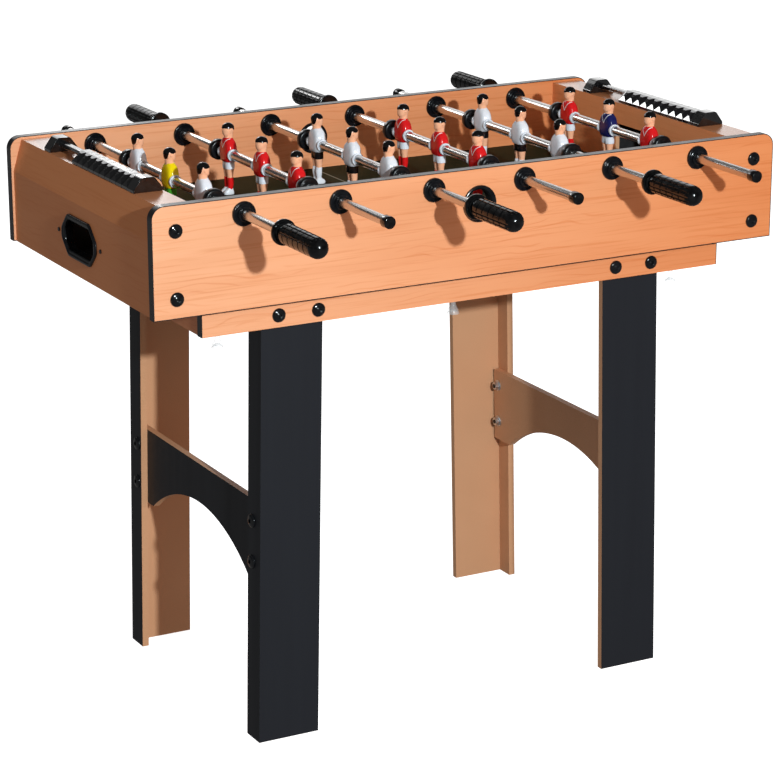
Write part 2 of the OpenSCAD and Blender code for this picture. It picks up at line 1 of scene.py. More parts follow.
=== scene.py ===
"""Finishes and small parts of a foosball table, dressed over its packed solids.

Lengths are in metres unless a name says otherwise. +X runs along the table, +Y from the front side
panel to the back one, and +Z up.
"""

from __future__ import annotations

import logging
import math
import sys
from collections.abc import Callable, Sequence
from dataclasses import dataclass
from enum import Enum, IntEnum
from itertools import product

import bmesh
import bpy
from mathutils import Matrix, Vector

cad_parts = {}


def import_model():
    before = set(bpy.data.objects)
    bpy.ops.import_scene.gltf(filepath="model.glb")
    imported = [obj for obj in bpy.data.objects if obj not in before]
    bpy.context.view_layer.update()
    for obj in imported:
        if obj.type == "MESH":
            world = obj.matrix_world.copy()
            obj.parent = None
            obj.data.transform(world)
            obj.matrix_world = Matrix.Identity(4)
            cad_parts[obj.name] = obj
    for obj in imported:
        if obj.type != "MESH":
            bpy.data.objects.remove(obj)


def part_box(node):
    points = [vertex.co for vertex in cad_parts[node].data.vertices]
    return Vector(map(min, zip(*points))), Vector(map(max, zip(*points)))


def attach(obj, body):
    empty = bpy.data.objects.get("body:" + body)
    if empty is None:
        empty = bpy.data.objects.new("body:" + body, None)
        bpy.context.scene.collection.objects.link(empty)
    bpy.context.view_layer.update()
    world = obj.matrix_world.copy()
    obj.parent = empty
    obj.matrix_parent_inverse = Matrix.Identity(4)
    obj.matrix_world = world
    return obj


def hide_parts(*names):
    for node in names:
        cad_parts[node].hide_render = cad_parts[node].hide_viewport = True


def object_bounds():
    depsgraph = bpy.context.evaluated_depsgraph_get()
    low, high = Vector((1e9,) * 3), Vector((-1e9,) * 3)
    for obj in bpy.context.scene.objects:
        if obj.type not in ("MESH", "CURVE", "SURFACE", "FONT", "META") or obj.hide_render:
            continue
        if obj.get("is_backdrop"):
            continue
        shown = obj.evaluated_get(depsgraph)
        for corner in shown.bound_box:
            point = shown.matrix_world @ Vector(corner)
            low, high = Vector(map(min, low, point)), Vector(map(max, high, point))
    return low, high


LOG = logging.getLogger("table")
MM = 0.001
PAINTED: dict[str, bpy.types.Material] = {}

Colour = tuple[float, float, float]
Point = tuple[float, float, float]
Radius = float | Callable[[float], float]
Work = bmesh.types.BMesh
Mesh = bpy.types.Mesh
Socket = bpy.types.NodeSocket


def display(red: float, green: float, blue: float) -> Colour:
    """Gives the linear colour that shows as these 0 to 255 values."""
    def linear(value: float) -> float:
        """Takes one channel out of its display curve."""
        share = value / 255
        return share / 12.92 if share <= 0.04045 else ((share + 0.055) / 1.055) ** 2.4
    return linear(red), linear(green), linear(blue)


# ---- shader tools ----


def maths(operation: str, meaning: str, swap: bool = False) -> Callable[..., Wire]:
    """Makes a method of Wire that adds one Math node.

    Args:
        operation: the node's operation.
        meaning: the method's docstring.
        swap: puts the other value first.

    Returns:
        The method.
    """
    def method(self: Wire, *others: Wire | float) -> Wire:
        """Adds the node."""
        return self.graph.math(operation, *((*others, self) if swap else (self, *others)))
    method.__doc__ = meaning
    return method


@dataclass(frozen=True, eq=False)
class Wire:
    """A number that changes over a surface, and takes part in arithmetic."""

    graph: Graph
    socket: Socket

    __add__ = __radd__ = maths("ADD", "self + other.")
    __sub__ = maths("SUBTRACT", "self - other.")
    __rsub__ = maths("SUBTRACT", "other - self.", swap=True)
    __mul__ = __rmul__ = maths("MULTIPLY", "self * other.")
    __truediv__ = maths("DIVIDE", "self / other.")
    __rtruediv__ = maths("DIVIDE", "other / self.", swap=True)
    __pow__ = maths("POWER", "self to a power.")
    __rpow__ = maths("POWER", "A base to the power of self.", swap=True)
    __gt__ = maths("GREATER_THAN", "1 where self is greater, else 0.")
    __lt__ = maths("LESS_THAN", "1 where self is less, else 0.")
    __abs__ = maths("ABSOLUTE", "Size without the sign.")
    sign = maths("SIGN", "-1, 0 or 1.")
    sine = maths("SINE", "Sine of the value in radians.")
    least = maths("MINIMUM", "The smaller of two values.")
    most = maths("MAXIMUM", "The greater of two values.")

    def fade(self, low: float, high: float) -> Wire:
        """Rises smoothly from 0 at low to 1 at high, or falls if low is the greater."""
        node = self.graph.add("ShaderNodeMapRange", {"interpolation_type": "SMOOTHSTEP"},
                              {"Value": self, "From Min": low, "From Max": high})
        return Wire(self.graph, node.outputs["Result"])


class Graph:
    """An empty node tree of a material or the world."""

    def __init__(self, holder: bpy.types.Material | bpy.types.World) -> None:
        """Clears the holder's nodes."""
        holder.use_nodes = True
        self.tree = holder.node_tree
        self.tree.nodes.clear()
        self.shader: bpy.types.Node | None = None

    def add(self, kind: str, settings: dict | None = None, sockets: dict | None = None) -> bpy.types.Node:
        """Adds any node.

        Args:
            kind: the node's type.
            settings: its own settings, set before its sockets.
            sockets: a value or a link for each named or numbered input.

        Returns:
            The new node.
        """
        node = self.tree.nodes.new(kind)
        for name, value in (settings or {}).items():
            setattr(node, name, value)
        for key, value in (sockets or {}).items():
            self.feed(node.inputs[key], value)
        return node

    def feed(self, socket: Socket, value: object) -> None:
        """Links a wire or an output to an input, or sets the input's own value."""
        source = value.socket if isinstance(value, Wire) else value
        if isinstance(source, Socket):
            self.tree.links.new(source, socket)
        else:
            if isinstance(source, tuple) and socket.type == "RGBA" and len(source) == 3:
                source = (*source, 1)
            socket.default_value = source

    def math(self, operation: str, *values: Wire | float) -> Wire:
        """Adds a Math node on one or more values."""
        node = self.add("ShaderNodeMath", {"operation": operation}, dict(enumerate(values)))
        return Wire(self, node.outputs[0])

    def mix(self, factor: Wire | float, first: object, second: object, blend: str = "MIX") -> Socket:
        """Mixes two colours, from first at 0 to second at 1."""
        node = self.add("ShaderNodeMix", {"data_type": "RGBA", "blend_type": blend},
                        {0: factor, 6: first, 7: second})
        return node.outputs[2]

    def place(self) -> Socket:
        """The point on the piece, in its own axes."""
        return self.add("ShaderNodeTexCoord").outputs["Object"]

    def facing(self) -> tuple[Wire, Wire, Wire]:
        """The surface's direction, in the piece's own axes."""
        return self.split(self.add("ShaderNodeTexCoord").outputs["Normal"])

    def split(self, vector: Socket) -> tuple[Wire, Wire, Wire]:
        """The three parts of a vector."""
        node = self.add("ShaderNodeSeparateXYZ", sockets={0: vector})
        return tuple(Wire(self, output) for output in node.outputs)

    def stretch(self, vector: Socket, factors: Point) -> Socket:
        """A vector with each part multiplied."""
        node = self.add("ShaderNodeVectorMath", {"operation": "MULTIPLY"}, {0: vector, 1: factors})
        return node.outputs[0]

    def noise(self, vector: Socket, scale: float, detail: float = 3.0, roughness: float = 0.5) -> Wire:
        """Cloudy noise around 0.5."""
        node = self.add("ShaderNodeTexNoise", sockets={
            "Vector": vector, "Scale": scale, "Detail": detail, "Roughness": roughness})
        return Wire(self, node.outputs["Fac"])

    def bump(self, height: Wire, distance: float) -> None:
        """Roughens the surface by a height that runs from 0 to 1, times a distance."""
        node = self.add("ShaderNodeBump", sockets={"Height": height, "Distance": distance, "Strength": 1.0})
        self.feed(self.shader.inputs["Normal"], node.outputs["Normal"])

    def dress(self, **sockets: object) -> None:
        """Sets the shader's sockets, written with underscores for spaces."""
        for name, value in sockets.items():
            self.feed(self.shader.inputs[name.replace("_", " ")], value)


@dataclass(frozen=True)
class Finish:
    """A finish that paints one material, made once."""

    name: str

    def material(self) -> bpy.types.Material:
        """Gives the material, painted the first time it is asked for."""
        if self.name not in PAINTED:
            made = PAINTED[self.name] = bpy.data.materials.new(self.name)
            graph = Graph(made)
            graph.shader = graph.add("ShaderNodeBsdfPrincipled")
            graph.add("ShaderNodeOutputMaterial", sockets={"Surface": graph.shader.outputs["BSDF"]})
            self.paint(graph)
        return PAINTED[self.name]

    def paint(self, graph: Graph) -> None:
        """Adds this finish's nodes to a graph."""
        raise NotImplementedError


@dataclass(frozen=True)
class Grain(Finish):
    """Wood-print laminate: a tone that may drift along X, fine streaks and a few wavy figured lines."""

    left: Colour = (1, 1, 1)
    right: Colour = (0, 0, 0)
    along: int = 0
    strength: float = 1.0
    roughness: float = 0.32
    half_length: float = 0.435
    seed: float = 0.0
    cloud_tint: Colour = (0.95, 0.90, 0.86)
    streak_tint: Colour = (0.92, 0.83, 0.74)
    line_tint: Colour = (0.92, 0.80, 0.70)

    def flow(self, graph: Graph, along: float, across: float) -> Wire:
        """Noise drawn out along the grain, by its scale along and across it."""
        factors = tuple(along if axis == self.along else across for axis in range(3))
        return graph.noise(graph.stretch(graph.place(), factors), 1.0, detail=2.0)

    def sheet(self, graph: Graph) -> Socket:
        """Paints the printed sheet and gives its colour."""
        parts = graph.split(graph.place())
        # Painted sheen: the colour runs from left at one end to right at the other, lighter where the key
        # light's glare falls.
        sheen_drift = (parts[0] / (2 * self.half_length)) + 0.5
        sheet = graph.mix(sheen_drift.most(0.0).least(1.0), self.left, self.right)
        cloud = self.flow(graph, 3.0, 26.0)
        streaks = self.flow(graph, 9.0, 420.0)
        sway = self.flow(graph, 7.0, 14.0)
        height = parts[2] if self.along != 2 else parts[1]
        figure = (height * 760.0 + sway * 34.0 + parts[self.along] * 9.0 + self.seed).sine()
        lines = figure.fade(0.7, 1.0) * self.flow(graph, 8.0, 60.0).fade(0.48, 0.66)
        for mask, share, tint in ((cloud.fade(0.35, 0.68), 1.0, self.cloud_tint),
                                  (streaks.fade(0.5, 0.75), 1.0, self.streak_tint),
                                  (lines, 0.8, self.line_tint)):
            sheet = graph.mix(mask * (share * self.strength), sheet, tint, "MULTIPLY")
        graph.dress(Roughness=cloud * 0.1 + (self.roughness - 0.05), Specular_IOR_Level=0.12)
        graph.bump(streaks, 0.00002)
        return sheet

    def paint(self, graph: Graph) -> None:
        """Covers every face with the sheet."""
        graph.dress(Base_Color=self.sheet(graph))


def raw_board(graph: Graph) -> Socket:
    """Colour of unfinished fibreboard."""
    speck = graph.noise(graph.place(), 900.0, detail=2.0)
    cloud = graph.noise(graph.place(), 9.0, detail=2.0)
    darker = speck.fade(0.3, 0.75) * 0.7 + cloud.fade(0.3, 0.7) * 0.3
    return graph.mix(darker, (0.70, 0.365, 0.20), (0.60, 0.30, 0.155))


@dataclass(frozen=True)
class MouthedGrain(Grain):
    """Laminate on the end walls, with bare board round the mouth of the goal."""

    inner_x: float = 0.387
    mouth_top: float = 0.68

    def paint(self, graph: Graph) -> None:
        """Shows bare board on the cut faces of the inner leaf."""
        parts = graph.split(graph.place())
        across = abs(graph.facing()[0])
        bare = (across < 0.5) * (abs(parts[0]) < self.inner_x) * (parts[2] < self.mouth_top)
        shelf = (graph.facing()[2] > 0.9) * (parts[2] > self.mouth_top)
        graph.dress(Base_Color=graph.mix(bare, self.sheet(graph), raw_board(graph)), Coat_Weight=shelf,
                    Coat_Roughness=0.22, Coat_IOR=1.9)


@dataclass(frozen=True)
class FoldedBoard(Finish):
    """Dark laminate outside and bare fibreboard inside, on boards that face away from the middle."""

    light: Colour = display(37, 39, 44)
    dark: Colour = display(32, 33, 38)

    def paint(self, graph: Graph) -> None:
        """Tells the outer faces by their direction from the middle of the table."""
        parts = graph.split(graph.place())
        facing = graph.facing()
        outward = (facing[0] * parts[0].sign()).most(facing[1] * parts[1].sign())
        streak = graph.noise(graph.stretch(graph.place(), (60.0, 60.0, 3.0)), 1.0, detail=4.0)
        sheet = graph.mix(streak, self.light, self.dark)
        graph.dress(Base_Color=graph.mix(outward > 0.5, raw_board(graph), sheet),
                    Roughness=streak * 0.12 + 0.4, Specular_IOR_Level=0.2)
        graph.bump(graph.noise(graph.place(), 700.0, detail=2.0), 0.00002)


@dataclass(frozen=True)
class RawBoard(Finish):
    """Unfinished fibreboard."""

    def paint(self, graph: Graph) -> None:
        """Speckled, dull and a little rough."""
        graph.dress(Base_Color=raw_board(graph), Roughness=0.85, Specular_IOR_Level=0.2)
        graph.bump(graph.noise(graph.place(), 800.0, detail=2.0), 0.0001)


@dataclass(frozen=True)
class Turf(Finish):
    """Printed playing surface with its field markings."""

    line_w: float = 0.0018
    circle_r: float = 0.055
    area: tuple[float, float] = (0.085, 0.10)
    goal_x: float = 0.379

    def paint(self, graph: Graph) -> None:
        """Draws the centre line, the circle and the two goal areas."""
        place = graph.place()
        x, y, z = graph.split(place)
        half = self.line_w / 2
        radius = (x * x + y * y) ** 0.5
        box = (abs(abs(x) - self.goal_x) - self.area[0]).most(abs(y) - self.area[1])
        marks = (abs(x) < half).most(abs(radius - self.circle_r) < half).most(abs(box) < half)
        marks = marks.most(radius < self.line_w * 1.8)
        cloud = graph.noise(place, 26.0, detail=5.0, roughness=0.6)
        speck = graph.noise(place, 700.0, detail=1.0)
        grass = graph.mix(cloud.fade(0.3, 0.7), display(50, 54, 33), display(40, 45, 26))
        grass = graph.mix(speck.fade(0.4, 0.8) * 0.3, grass, display(64, 62, 42))
        graph.dress(Base_Color=graph.mix(marks * 0.85, grass, display(178, 170, 148)),
                    Roughness=speck * 0.1 + 0.6, Specular_IOR_Level=0.08)
        graph.bump(speck, 0.00004)


@dataclass(frozen=True)
class Plastic(Finish):
    """Moulded or painted plastic with a faint unevenness."""

    colour: Colour = (0.5, 0.5, 0.5)
    roughness: float = 0.3
    spread: float = 0.1
    coat: float = 0.0
    ripple: float = 0.00003
    scale: float = 160.0
    gloss: float = 0.5

    def cover(self, graph: Graph) -> Socket:
        """Gives the colour, a little lighter in places."""
        cloud = graph.noise(graph.place(), self.scale, detail=3.0)
        paler = tuple(min(1.0, c * (1 + self.spread) + 0.004) for c in self.colour)
        deeper = tuple(c * (1 - self.spread) for c in self.colour)
        graph.dress(Roughness=cloud * 0.14 + (self.roughness - 0.07), Coat_Weight=self.coat,
                    Specular_IOR_Level=self.gloss)
        if self.ripple:
            graph.bump(cloud, self.ripple)
        return graph.mix(cloud.fade(0.3, 0.7), deeper, paler)

    def paint(self, graph: Graph) -> None:
        """Covers the whole piece."""
        graph.dress(Base_Color=self.cover(graph))


@dataclass(frozen=True)
class Jersey(Plastic):
    """Painted shirt with a trim line round a V neck, on a man that faces +X."""

    trim: Colour = (0.9, 0.9, 0.9)
    point: float = 0.0085
    top: float = 0.0205
    slope: float = 0.62
    half: float = 0.0006

    def paint(self, graph: Graph) -> None:
        """Paints the shirt, then the V on its front."""
        x, y, z = graph.split(graph.place())
        edge = abs(abs(y) - (z - self.point) * self.slope)
        vee = (edge < self.half) * (z > self.point - self.half) * (z < self.top) * (x > 0.0)
        graph.dress(Base_Color=graph.mix(vee, self.cover(graph), self.trim))


@dataclass(frozen=True)
class Metal(Finish):
    """Bright metal with faint marks round or along the piece."""

    colour: Colour = (0.8, 0.8, 0.82)
    roughness: float = 0.1
    marks: Point = (300.0, 20.0, 300.0)

    def paint(self, graph: Graph) -> None:
        """Varies the polish and the tone a little."""
        mark = graph.noise(graph.stretch(graph.place(), self.marks), 1.0, detail=3.0)
        duller = tuple(c * 0.93 for c in self.colour)
        graph.dress(Base_Color=graph.mix(mark, self.colour, duller), Metallic=1.0,
                    Roughness=mark * 0.08 + (self.roughness - 0.04))


@dataclass(frozen=True)
class ClearVinyl(Finish):
    """Soft clear vinyl, slightly clouded."""

    cover: float = 0.22

    def paint(self, graph: Graph) -> None:
        """Lets most light through."""
        cloud = graph.noise(graph.place(), 120.0, detail=2.0)
        graph.dress(Base_Color=graph.mix(cloud, display(240, 244, 246), display(220, 228, 232)),
                    Alpha=cloud * 0.1 + (self.cover - 0.05), Roughness=cloud * 0.1 + 0.12)


@dataclass(frozen=True)
class Floor(Finish):
    """Plain pale studio floor."""

    glow: float = 0.95

    def paint(self, graph: Graph) -> None:
        """Nearly white, with a glow of its own so that it meets the backdrop."""
        cloud = graph.noise(graph.place(), 0.6, detail=1.0)
        graph.dress(Base_Color=graph.mix(cloud, (0.93, 0.93, 0.93), (0.95, 0.95, 0.95)), Roughness=0.9,
                    Specular_IOR_Level=0.0, Emission_Color=(1.0, 1.0, 1.0), Emission_Strength=self.glow)


# The end walls are the same beech laminate as the side boards, given a darker base colour: painted shade, as
# the beech looks where the key light does not reach.
PAINTED_SHADE_BEECH = (0.80, 0.30, 0.12)
# The boards are lighter and paler at the left end and darker at the right end: painted sheen of the key light's
# glare.
BEECH = Grain("beech", (0.92, 0.45, 0.25), (0.79, 0.275, 0.103))
WALLS = MouthedGrain("beech_walls_painted_shade", PAINTED_SHADE_BEECH, PAINTED_SHADE_BEECH, along=1, seed=1.7, strength=0.6)
# The ends of the apron are the same beech again, darkened as painted shade.
ENDS = Grain("beech_ends_painted_shade", (0.84, 0.335, 0.155), (0.84, 0.335, 0.155), along=1, seed=3.1, strength=0.6)
CHARCOAL = FoldedBoard("charcoal_board")
RAW = RawBoard("raw_board")
TURF = Turf("turf")
BAND = Plastic("edge_band", display(28, 28, 31), roughness=0.3, scale=60.0)
LINER = Plastic("liner", display(12, 12, 13), roughness=0.6)
TRIM = Plastic("black_trim", display(14, 15, 18), roughness=0.24, ripple=0.0, gloss=0.35)
SCREW = Plastic("black_screw", display(12, 13, 16), roughness=0.13, ripple=0.0)
BUSHING = Plastic("bushing", display(13, 14, 18), roughness=0.22, ripple=0.0, gloss=0.35)
GRIP = Plastic("grip_black", display(6, 6, 7), roughness=0.17, ripple=0.0, gloss=0.4)
RUBBER = Plastic("ring_rubber", display(15, 15, 18), roughness=0.3, ripple=0.0, gloss=0.35)
SCORER = Plastic("scorer_black", display(8, 8, 10), roughness=0.12, coat=1.0, ripple=0.0, gloss=0.8)
CHROME = Metal("rod_chrome", (0.62, 0.61, 0.60), roughness=0.26)
ZINC = Metal("zinc", (0.72, 0.73, 0.75), roughness=0.28, marks=(400.0, 400.0, 400.0))
VINYL = ClearVinyl("clear_vinyl")
SKIN = Plastic("skin_paint", (1.0, 0.49, 0.29), roughness=0.26, spread=0.04, gloss=0.3)
HAIR = Plastic("hair_paint", display(8, 7, 8), roughness=0.12, ripple=0.0, gloss=0.5)
HUB = Plastic("hub_white", (0.86, 0.88, 0.93), roughness=0.2, spread=0.03)
SHOE = Plastic("shoe_white", (0.86, 0.88, 0.92), roughness=0.22, spread=0.03)


# ---- mesh tools ----


def bell(offset: float) -> float:
    """A smooth hump: 1 in its middle, and near 0 beyond an offset of 2."""
    return math.exp(-(offset ** 2))


def circle(count: int) -> list[float]:
    """Angles once round a circle."""
    return [2 * math.pi * k / count for k in range(count)]


def oval(z: float, centre_x: float, half_x: float, half_y: float, power: float = 2.0, pinch: float = 0.0,
         count: int = 24, centre_y: float = 0.0) -> list[Vector]:
    """A level ring shaped between an ellipse and a box, in millimetres.

    Args:
        z: height.
        centre_x: middle along x.
        half_x: half of its depth.
        half_y: half of its width.
        power: 2 for an ellipse, more for squarer corners.
        pinch: share of the depth taken out in the middle of the width.
        count: points round it.
        centre_y: middle along y.

    Returns:
        The ring's points in metres.
    """
    ring = []
    for angle in circle(count):
        c, s = math.cos(angle), math.sin(angle)
        x = math.copysign(abs(c) ** (2 / power), c) * half_x
        y = math.copysign(abs(s) ** (2 / power), s) * half_y
        x *= 1 - pinch * bell(y / 1.6)
        ring.append(Vector((centre_x + x, centre_y + y, z)) * MM)
    return ring


def skin(mesh: Work, rings: Sequence[Sequence[Vector]], slot: int, closed: bool) -> None:
    """Joins rings of equal counts by smooth faces.

    Args:
        mesh: mesh that takes the faces.
        rings: rings of points, from one end to the other.
        slot: number of the material.
        closed: joins the last ring back to the first, instead of capping both ends.
    """
    rows = [[mesh.verts.new(point) for point in ring] for ring in rings]
    faces = []
    for low, high in zip(rows, rows[1:] + rows[:1] if closed else rows[1:]):
        count = len(low)
        faces += [mesh.faces.new((low[k], low[(k + 1) % count], high[(k + 1) % count], high[k]))
                  for k in range(count)]
    if not closed:
        faces += [mesh.faces.new(rows[0][::-1]), mesh.faces.new(rows[-1])]
    for face in faces:
        face.material_index = slot
        face.smooth = True


def loft(mesh: Work, rings: Sequence[Sequence[Vector]], slot: int = 0) -> None:
    """Skins rings and closes both ends."""
    skin(mesh, rings, slot, closed=False)


def tube(mesh: Work, rings: Sequence[Sequence[Vector]], slot: int = 0) -> None:
    """Skins rings into a piece with a hole through it."""
    skin(mesh, rings, slot, closed=True)


def lathe(profile: Sequence[tuple[Radius, float]], count: int = 48) -> list[list[Vector]]:
    """Rings about the Z axis from a profile of radii and heights, in millimetres.

    Args:
        profile: radius, or a radius that depends on the angle, and height of each ring.
        count: points round each ring.

    Returns:
        The rings in metres.
    """
    return [[Vector((r * math.cos(angle), r * math.sin(angle), height)) * MM
             for angle in circle(count) for r in [radius(angle) if callable(radius) else radius]]
            for radius, height in profile]


def hexagon(flat: float) -> Callable[[float], float]:
    """Radius of a hexagon at any angle, from half of its width across flats."""
    def radius(angle: float) -> float:
        """Distance from the middle to the side at this angle."""
        return flat / math.cos((angle + math.pi / 6) % (math.pi / 3) - math.pi / 6)
    return radius


def to_mesh(work: Work, name: str, finishes: Sequence[Finish], crease_deg: float = 40.0) -> Mesh:
    """Closes a work mesh into a Blender mesh with its materials.

    Args:
        work: mesh to store and free.
        name: the mesh's name.
        finishes: the finish of each material number.
        crease_deg: edges that turn by more stay sharp.

    Returns:
        The stored mesh.
    """
    bmesh.ops.remove_doubles(work, verts=work.verts, dist=1e-7)
    bmesh.ops.recalc_face_normals(work, faces=work.faces)
    mesh = bpy.data.meshes.new(name)
    work.to_mesh(mesh)
    work.free()
    for finish in finishes:
        mesh.materials.append(finish.material())
    mesh.set_sharp_from_angle(angle=math.radians(crease_deg))
    return mesh


def turned(name: str, finish: Finish, profile: Sequence[tuple[Radius, float]], count: int, crease_deg: float,
           bored: bool = False) -> Mesh:
    """Turns a whole piece about the Z axis.

    Args:
        name: the mesh's name.
        finish: its finish.
        profile: radius and height of each ring.
        count: points round each ring.
        crease_deg: edges that turn by more stay sharp.
        bored: with a hole through it, so that the profile runs back to its start.

    Returns:
        The stored mesh.
    """
    work = bmesh.new()
    (tube if bored else loft)(work, lathe(profile, count))
    return to_mesh(work, name, [finish], crease_deg)


# Turns that aim +Z along an axis, by the axis and its sign.
AIM = {("X", sign): Matrix.Rotation(sign * math.pi / 2, 4, "Y") for sign in (-1, 1)}
AIM |= {("Y", sign): Matrix.Rotation(-sign * math.pi / 2, 4, "X") for sign in (-1, 1)}
# Sides and ends of the table, with their signs along Y and X.
SIDES = (("front", -1), ("back", 1))
ENDS_X = (("left", -1), ("right", 1))
# The rounding of cut edges.
ROUND_STEPS = 2
ROUND_FROM_DEG = 30.0


@dataclass
class Placer:
    """Sets finished pieces on the bodies of the frame, and counts them."""

    made: int = 0

    def put(self, name: str, mesh: Mesh, where: Point, node: str, turn: Matrix | None = None,
            body: str = "table", bevel: float = 0.0) -> None:
        """Adds one piece.

        Args:
            name: the piece's name.
            mesh: its mesh, which other pieces may share.
            where: its place.
            slot: the record's material slot.
            node: the packed node that it stands for.
            turn: how it is turned.
            body: the body it rides on.
            bevel: width of the rounding on its sharp edges.
        """
        piece = bpy.data.objects.new(name, mesh)
        bpy.context.scene.collection.objects.link(piece)
        piece.matrix_world = Matrix.Translation(where) @ (turn or Matrix.Identity(4))
        if bevel:
            rounding = piece.modifiers.new("rounding", "BEVEL")
            rounding.width = bevel
            rounding.segments = ROUND_STEPS
            rounding.limit_method = "ANGLE"
            rounding.angle_limit = math.radians(ROUND_FROM_DEG)
            rounding.harden_normals = True
        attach(piece, body)
        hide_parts(node)
        self.made += 1


def dress_nodes(finish: Finish, *names: str) -> None:
    """Gives packed solids a finish in place of their plain colour."""
    for name in names:
        solid = bpy.data.objects[name]
        solid.data.materials.clear()
        solid.data.materials.append(finish.material())


# ---- boards ----


@dataclass
class Cabinet:
    """The boards that the packed model already shapes, given their finishes."""

    dressed: tuple[tuple[Finish, tuple[str, ...]], ...] = (
        (BEECH, ("front_panel", "back_panel", "apron_front", "apron_back")),
        (WALLS, ("end_wall_left", "end_wall_right")),
        (ENDS, ("apron_ends",)),
        (CHARCOAL, ("leg_front_left", "leg_front_right", "leg_back_left", "leg_back_right",
                    "stretcher_left", "stretcher_right")),
        (BAND, ("edge_bands",)), (RAW, ("corner_blocks",)), (TURF, ("playfield",)),
        (LINER, ("goal_boxes",)), (SCREW, ("box_screws",)))

    def build(self) -> None:
        """Dresses each board."""
        for finish, nodes in self.dressed:
            dress_nodes(finish, *nodes)
            LOG.info("%s: %s", finish.name, ", ".join(nodes))


# ---- bolts, nuts and feet ----


@dataclass
class Fastening:
    """Furniture bolts with domed heads, and the washers and nuts on their ends. Sizes are in millimetres."""

    head_r: float = 8.75
    head_h: float = 4.0
    shank_r: float = 3.0
    socket: float = 2.2
    washer_r: float = 8.0
    washer_t: float = 1.4
    nut_half: float = 5.5
    nut_h: float = 5.0
    panel_shank: float = 30.0
    apron_shank: float = 28.4
    stretcher_shank: float = 25.4
    lean: float = math.radians(1.2)
    lean_z: float = 553.5
    side_y: float = 230.0
    panel_x: float = 405.0
    panel_z: tuple[float, float] = (677.0, 595.5)
    apron_x: tuple[float, float] = (264.5, 211.5)
    apron_y: float = 211.0
    leaf_y: float = 199.0
    leg_x: float = 282.0
    board_t: float = 9.0
    stretcher_y: float = 176.0
    stretcher_z: tuple[float, float] = (280.5, 227.5)

    def bolt(self, name: str, shank: float) -> Mesh:
        """Draws a bolt along +Z with its head's seat at 0."""
        r, h = self.head_r, self.head_h
        dome = [(r * math.cos(t), 0.9 + (h - 0.9) * math.sin(t) ** 0.9)
                for t in (math.radians(d) for d in range(0, 66, 8))]
        rim = self.socket + 0.75
        s = self.shank_r
        profile = [(0.0, -shank), (s - 0.4, -shank), (s, 0.5 - shank), (s, 0.0), (r, 0.0), *dome,
                   (rim + 0.35, h), (rim, h - 0.1), (hexagon(self.socket), h - 0.45),
                   (hexagon(self.socket - 0.1), h - 2.4), (0.0, h - 2.8)]
        return turned(name, SCREW, profile, 36, 38)

    def nut(self) -> Mesh:
        """Draws a washer and a chamfered nut along +Z, round the bolt."""
        top = self.washer_t + self.nut_h
        hex_side = hexagon(self.nut_half)
        bore = self.shank_r + 0.05
        work = bmesh.new()
        tube(work, lathe([(bore, 0.0), (self.washer_r - 0.2, 0.0), (self.washer_r, 0.2),
                          (self.washer_r, self.washer_t - 0.2), (self.washer_r - 0.3, self.washer_t),
                          (bore, self.washer_t)], 36))
        tube(work, lathe([(bore, self.washer_t), (hex_side, self.washer_t), (hex_side, top - 0.9),
                          (lambda a: min(hex_side(a), self.nut_half + 0.15), top - 0.35),
                          (self.nut_half - 0.6, top), (bore, top)], 36))
        return to_mesh(work, "nut_mesh", [ZINC], 25)

    def build(self, placer: Placer) -> None:
        """Sets every bolt and nut, corner by corner."""
        panel, apron, stretcher = (self.bolt(f"{kind}_bolt_mesh", shank) for kind, shank in (
            ("panel", self.panel_shank), ("apron", self.apron_shank), ("stretcher", self.stretcher_shank)))
        nut = self.nut()
        for (along, sx), (across, sy) in product(ENDS_X, SIDES):
            rows = [("panel_bolt", "panel_bolts", panel, k, (self.panel_x, self.side_y, z),
                     AIM["Y", sy] @ Matrix.Rotation(0.5 + k + sx, 4, "Z")) for k, z in enumerate(self.panel_z)]
            for k, x in enumerate(self.apron_x):
                rows += [("apron_bolt", "leg_bolts", apron, k, (x, self.apron_y, self.lean_z), AIM["Y", sy]),
                         ("apron_nut", "leg_nuts", nut, k, (x, self.leaf_y - self.board_t, self.lean_z),
                          AIM["Y", -sy])]
            splay = Matrix.Rotation(-sx * self.lean, 4, "Y")
            for k, height in enumerate(self.stretcher_z):
                for kind, mesh, reach, out in (("bolt", stretcher, 0.0, sx),
                                               ("nut", nut, 2 * self.board_t, -sx)):
                    x, z = self.lean_point(self.leg_x - reach, height)
                    rows.append((f"stretcher_{kind}", f"leg_{kind}s", mesh, k, (x, self.stretcher_y, z),
                                 splay @ AIM["X", out]))
            for kind, node, mesh, k, (x, y, z), turn in rows:
                placer.put(f"{kind}_{across}_{along}_{k + 1}", mesh, (sx * x * MM, sy * y * MM, z * MM),
                           node, turn)
        LOG.info("fastening: 8 panel bolts, 16 leg bolts and 16 nuts")

    def lean_point(self, x: float, z: float) -> tuple[float, float]:
        """Where a point of the right-hand leg comes to when the leg leans out at its foot."""
        up = z - self.lean_z
        return (x * math.cos(self.lean) - up * math.sin(self.lean),
                self.lean_z + x * math.sin(self.lean) + up * math.cos(self.lean))


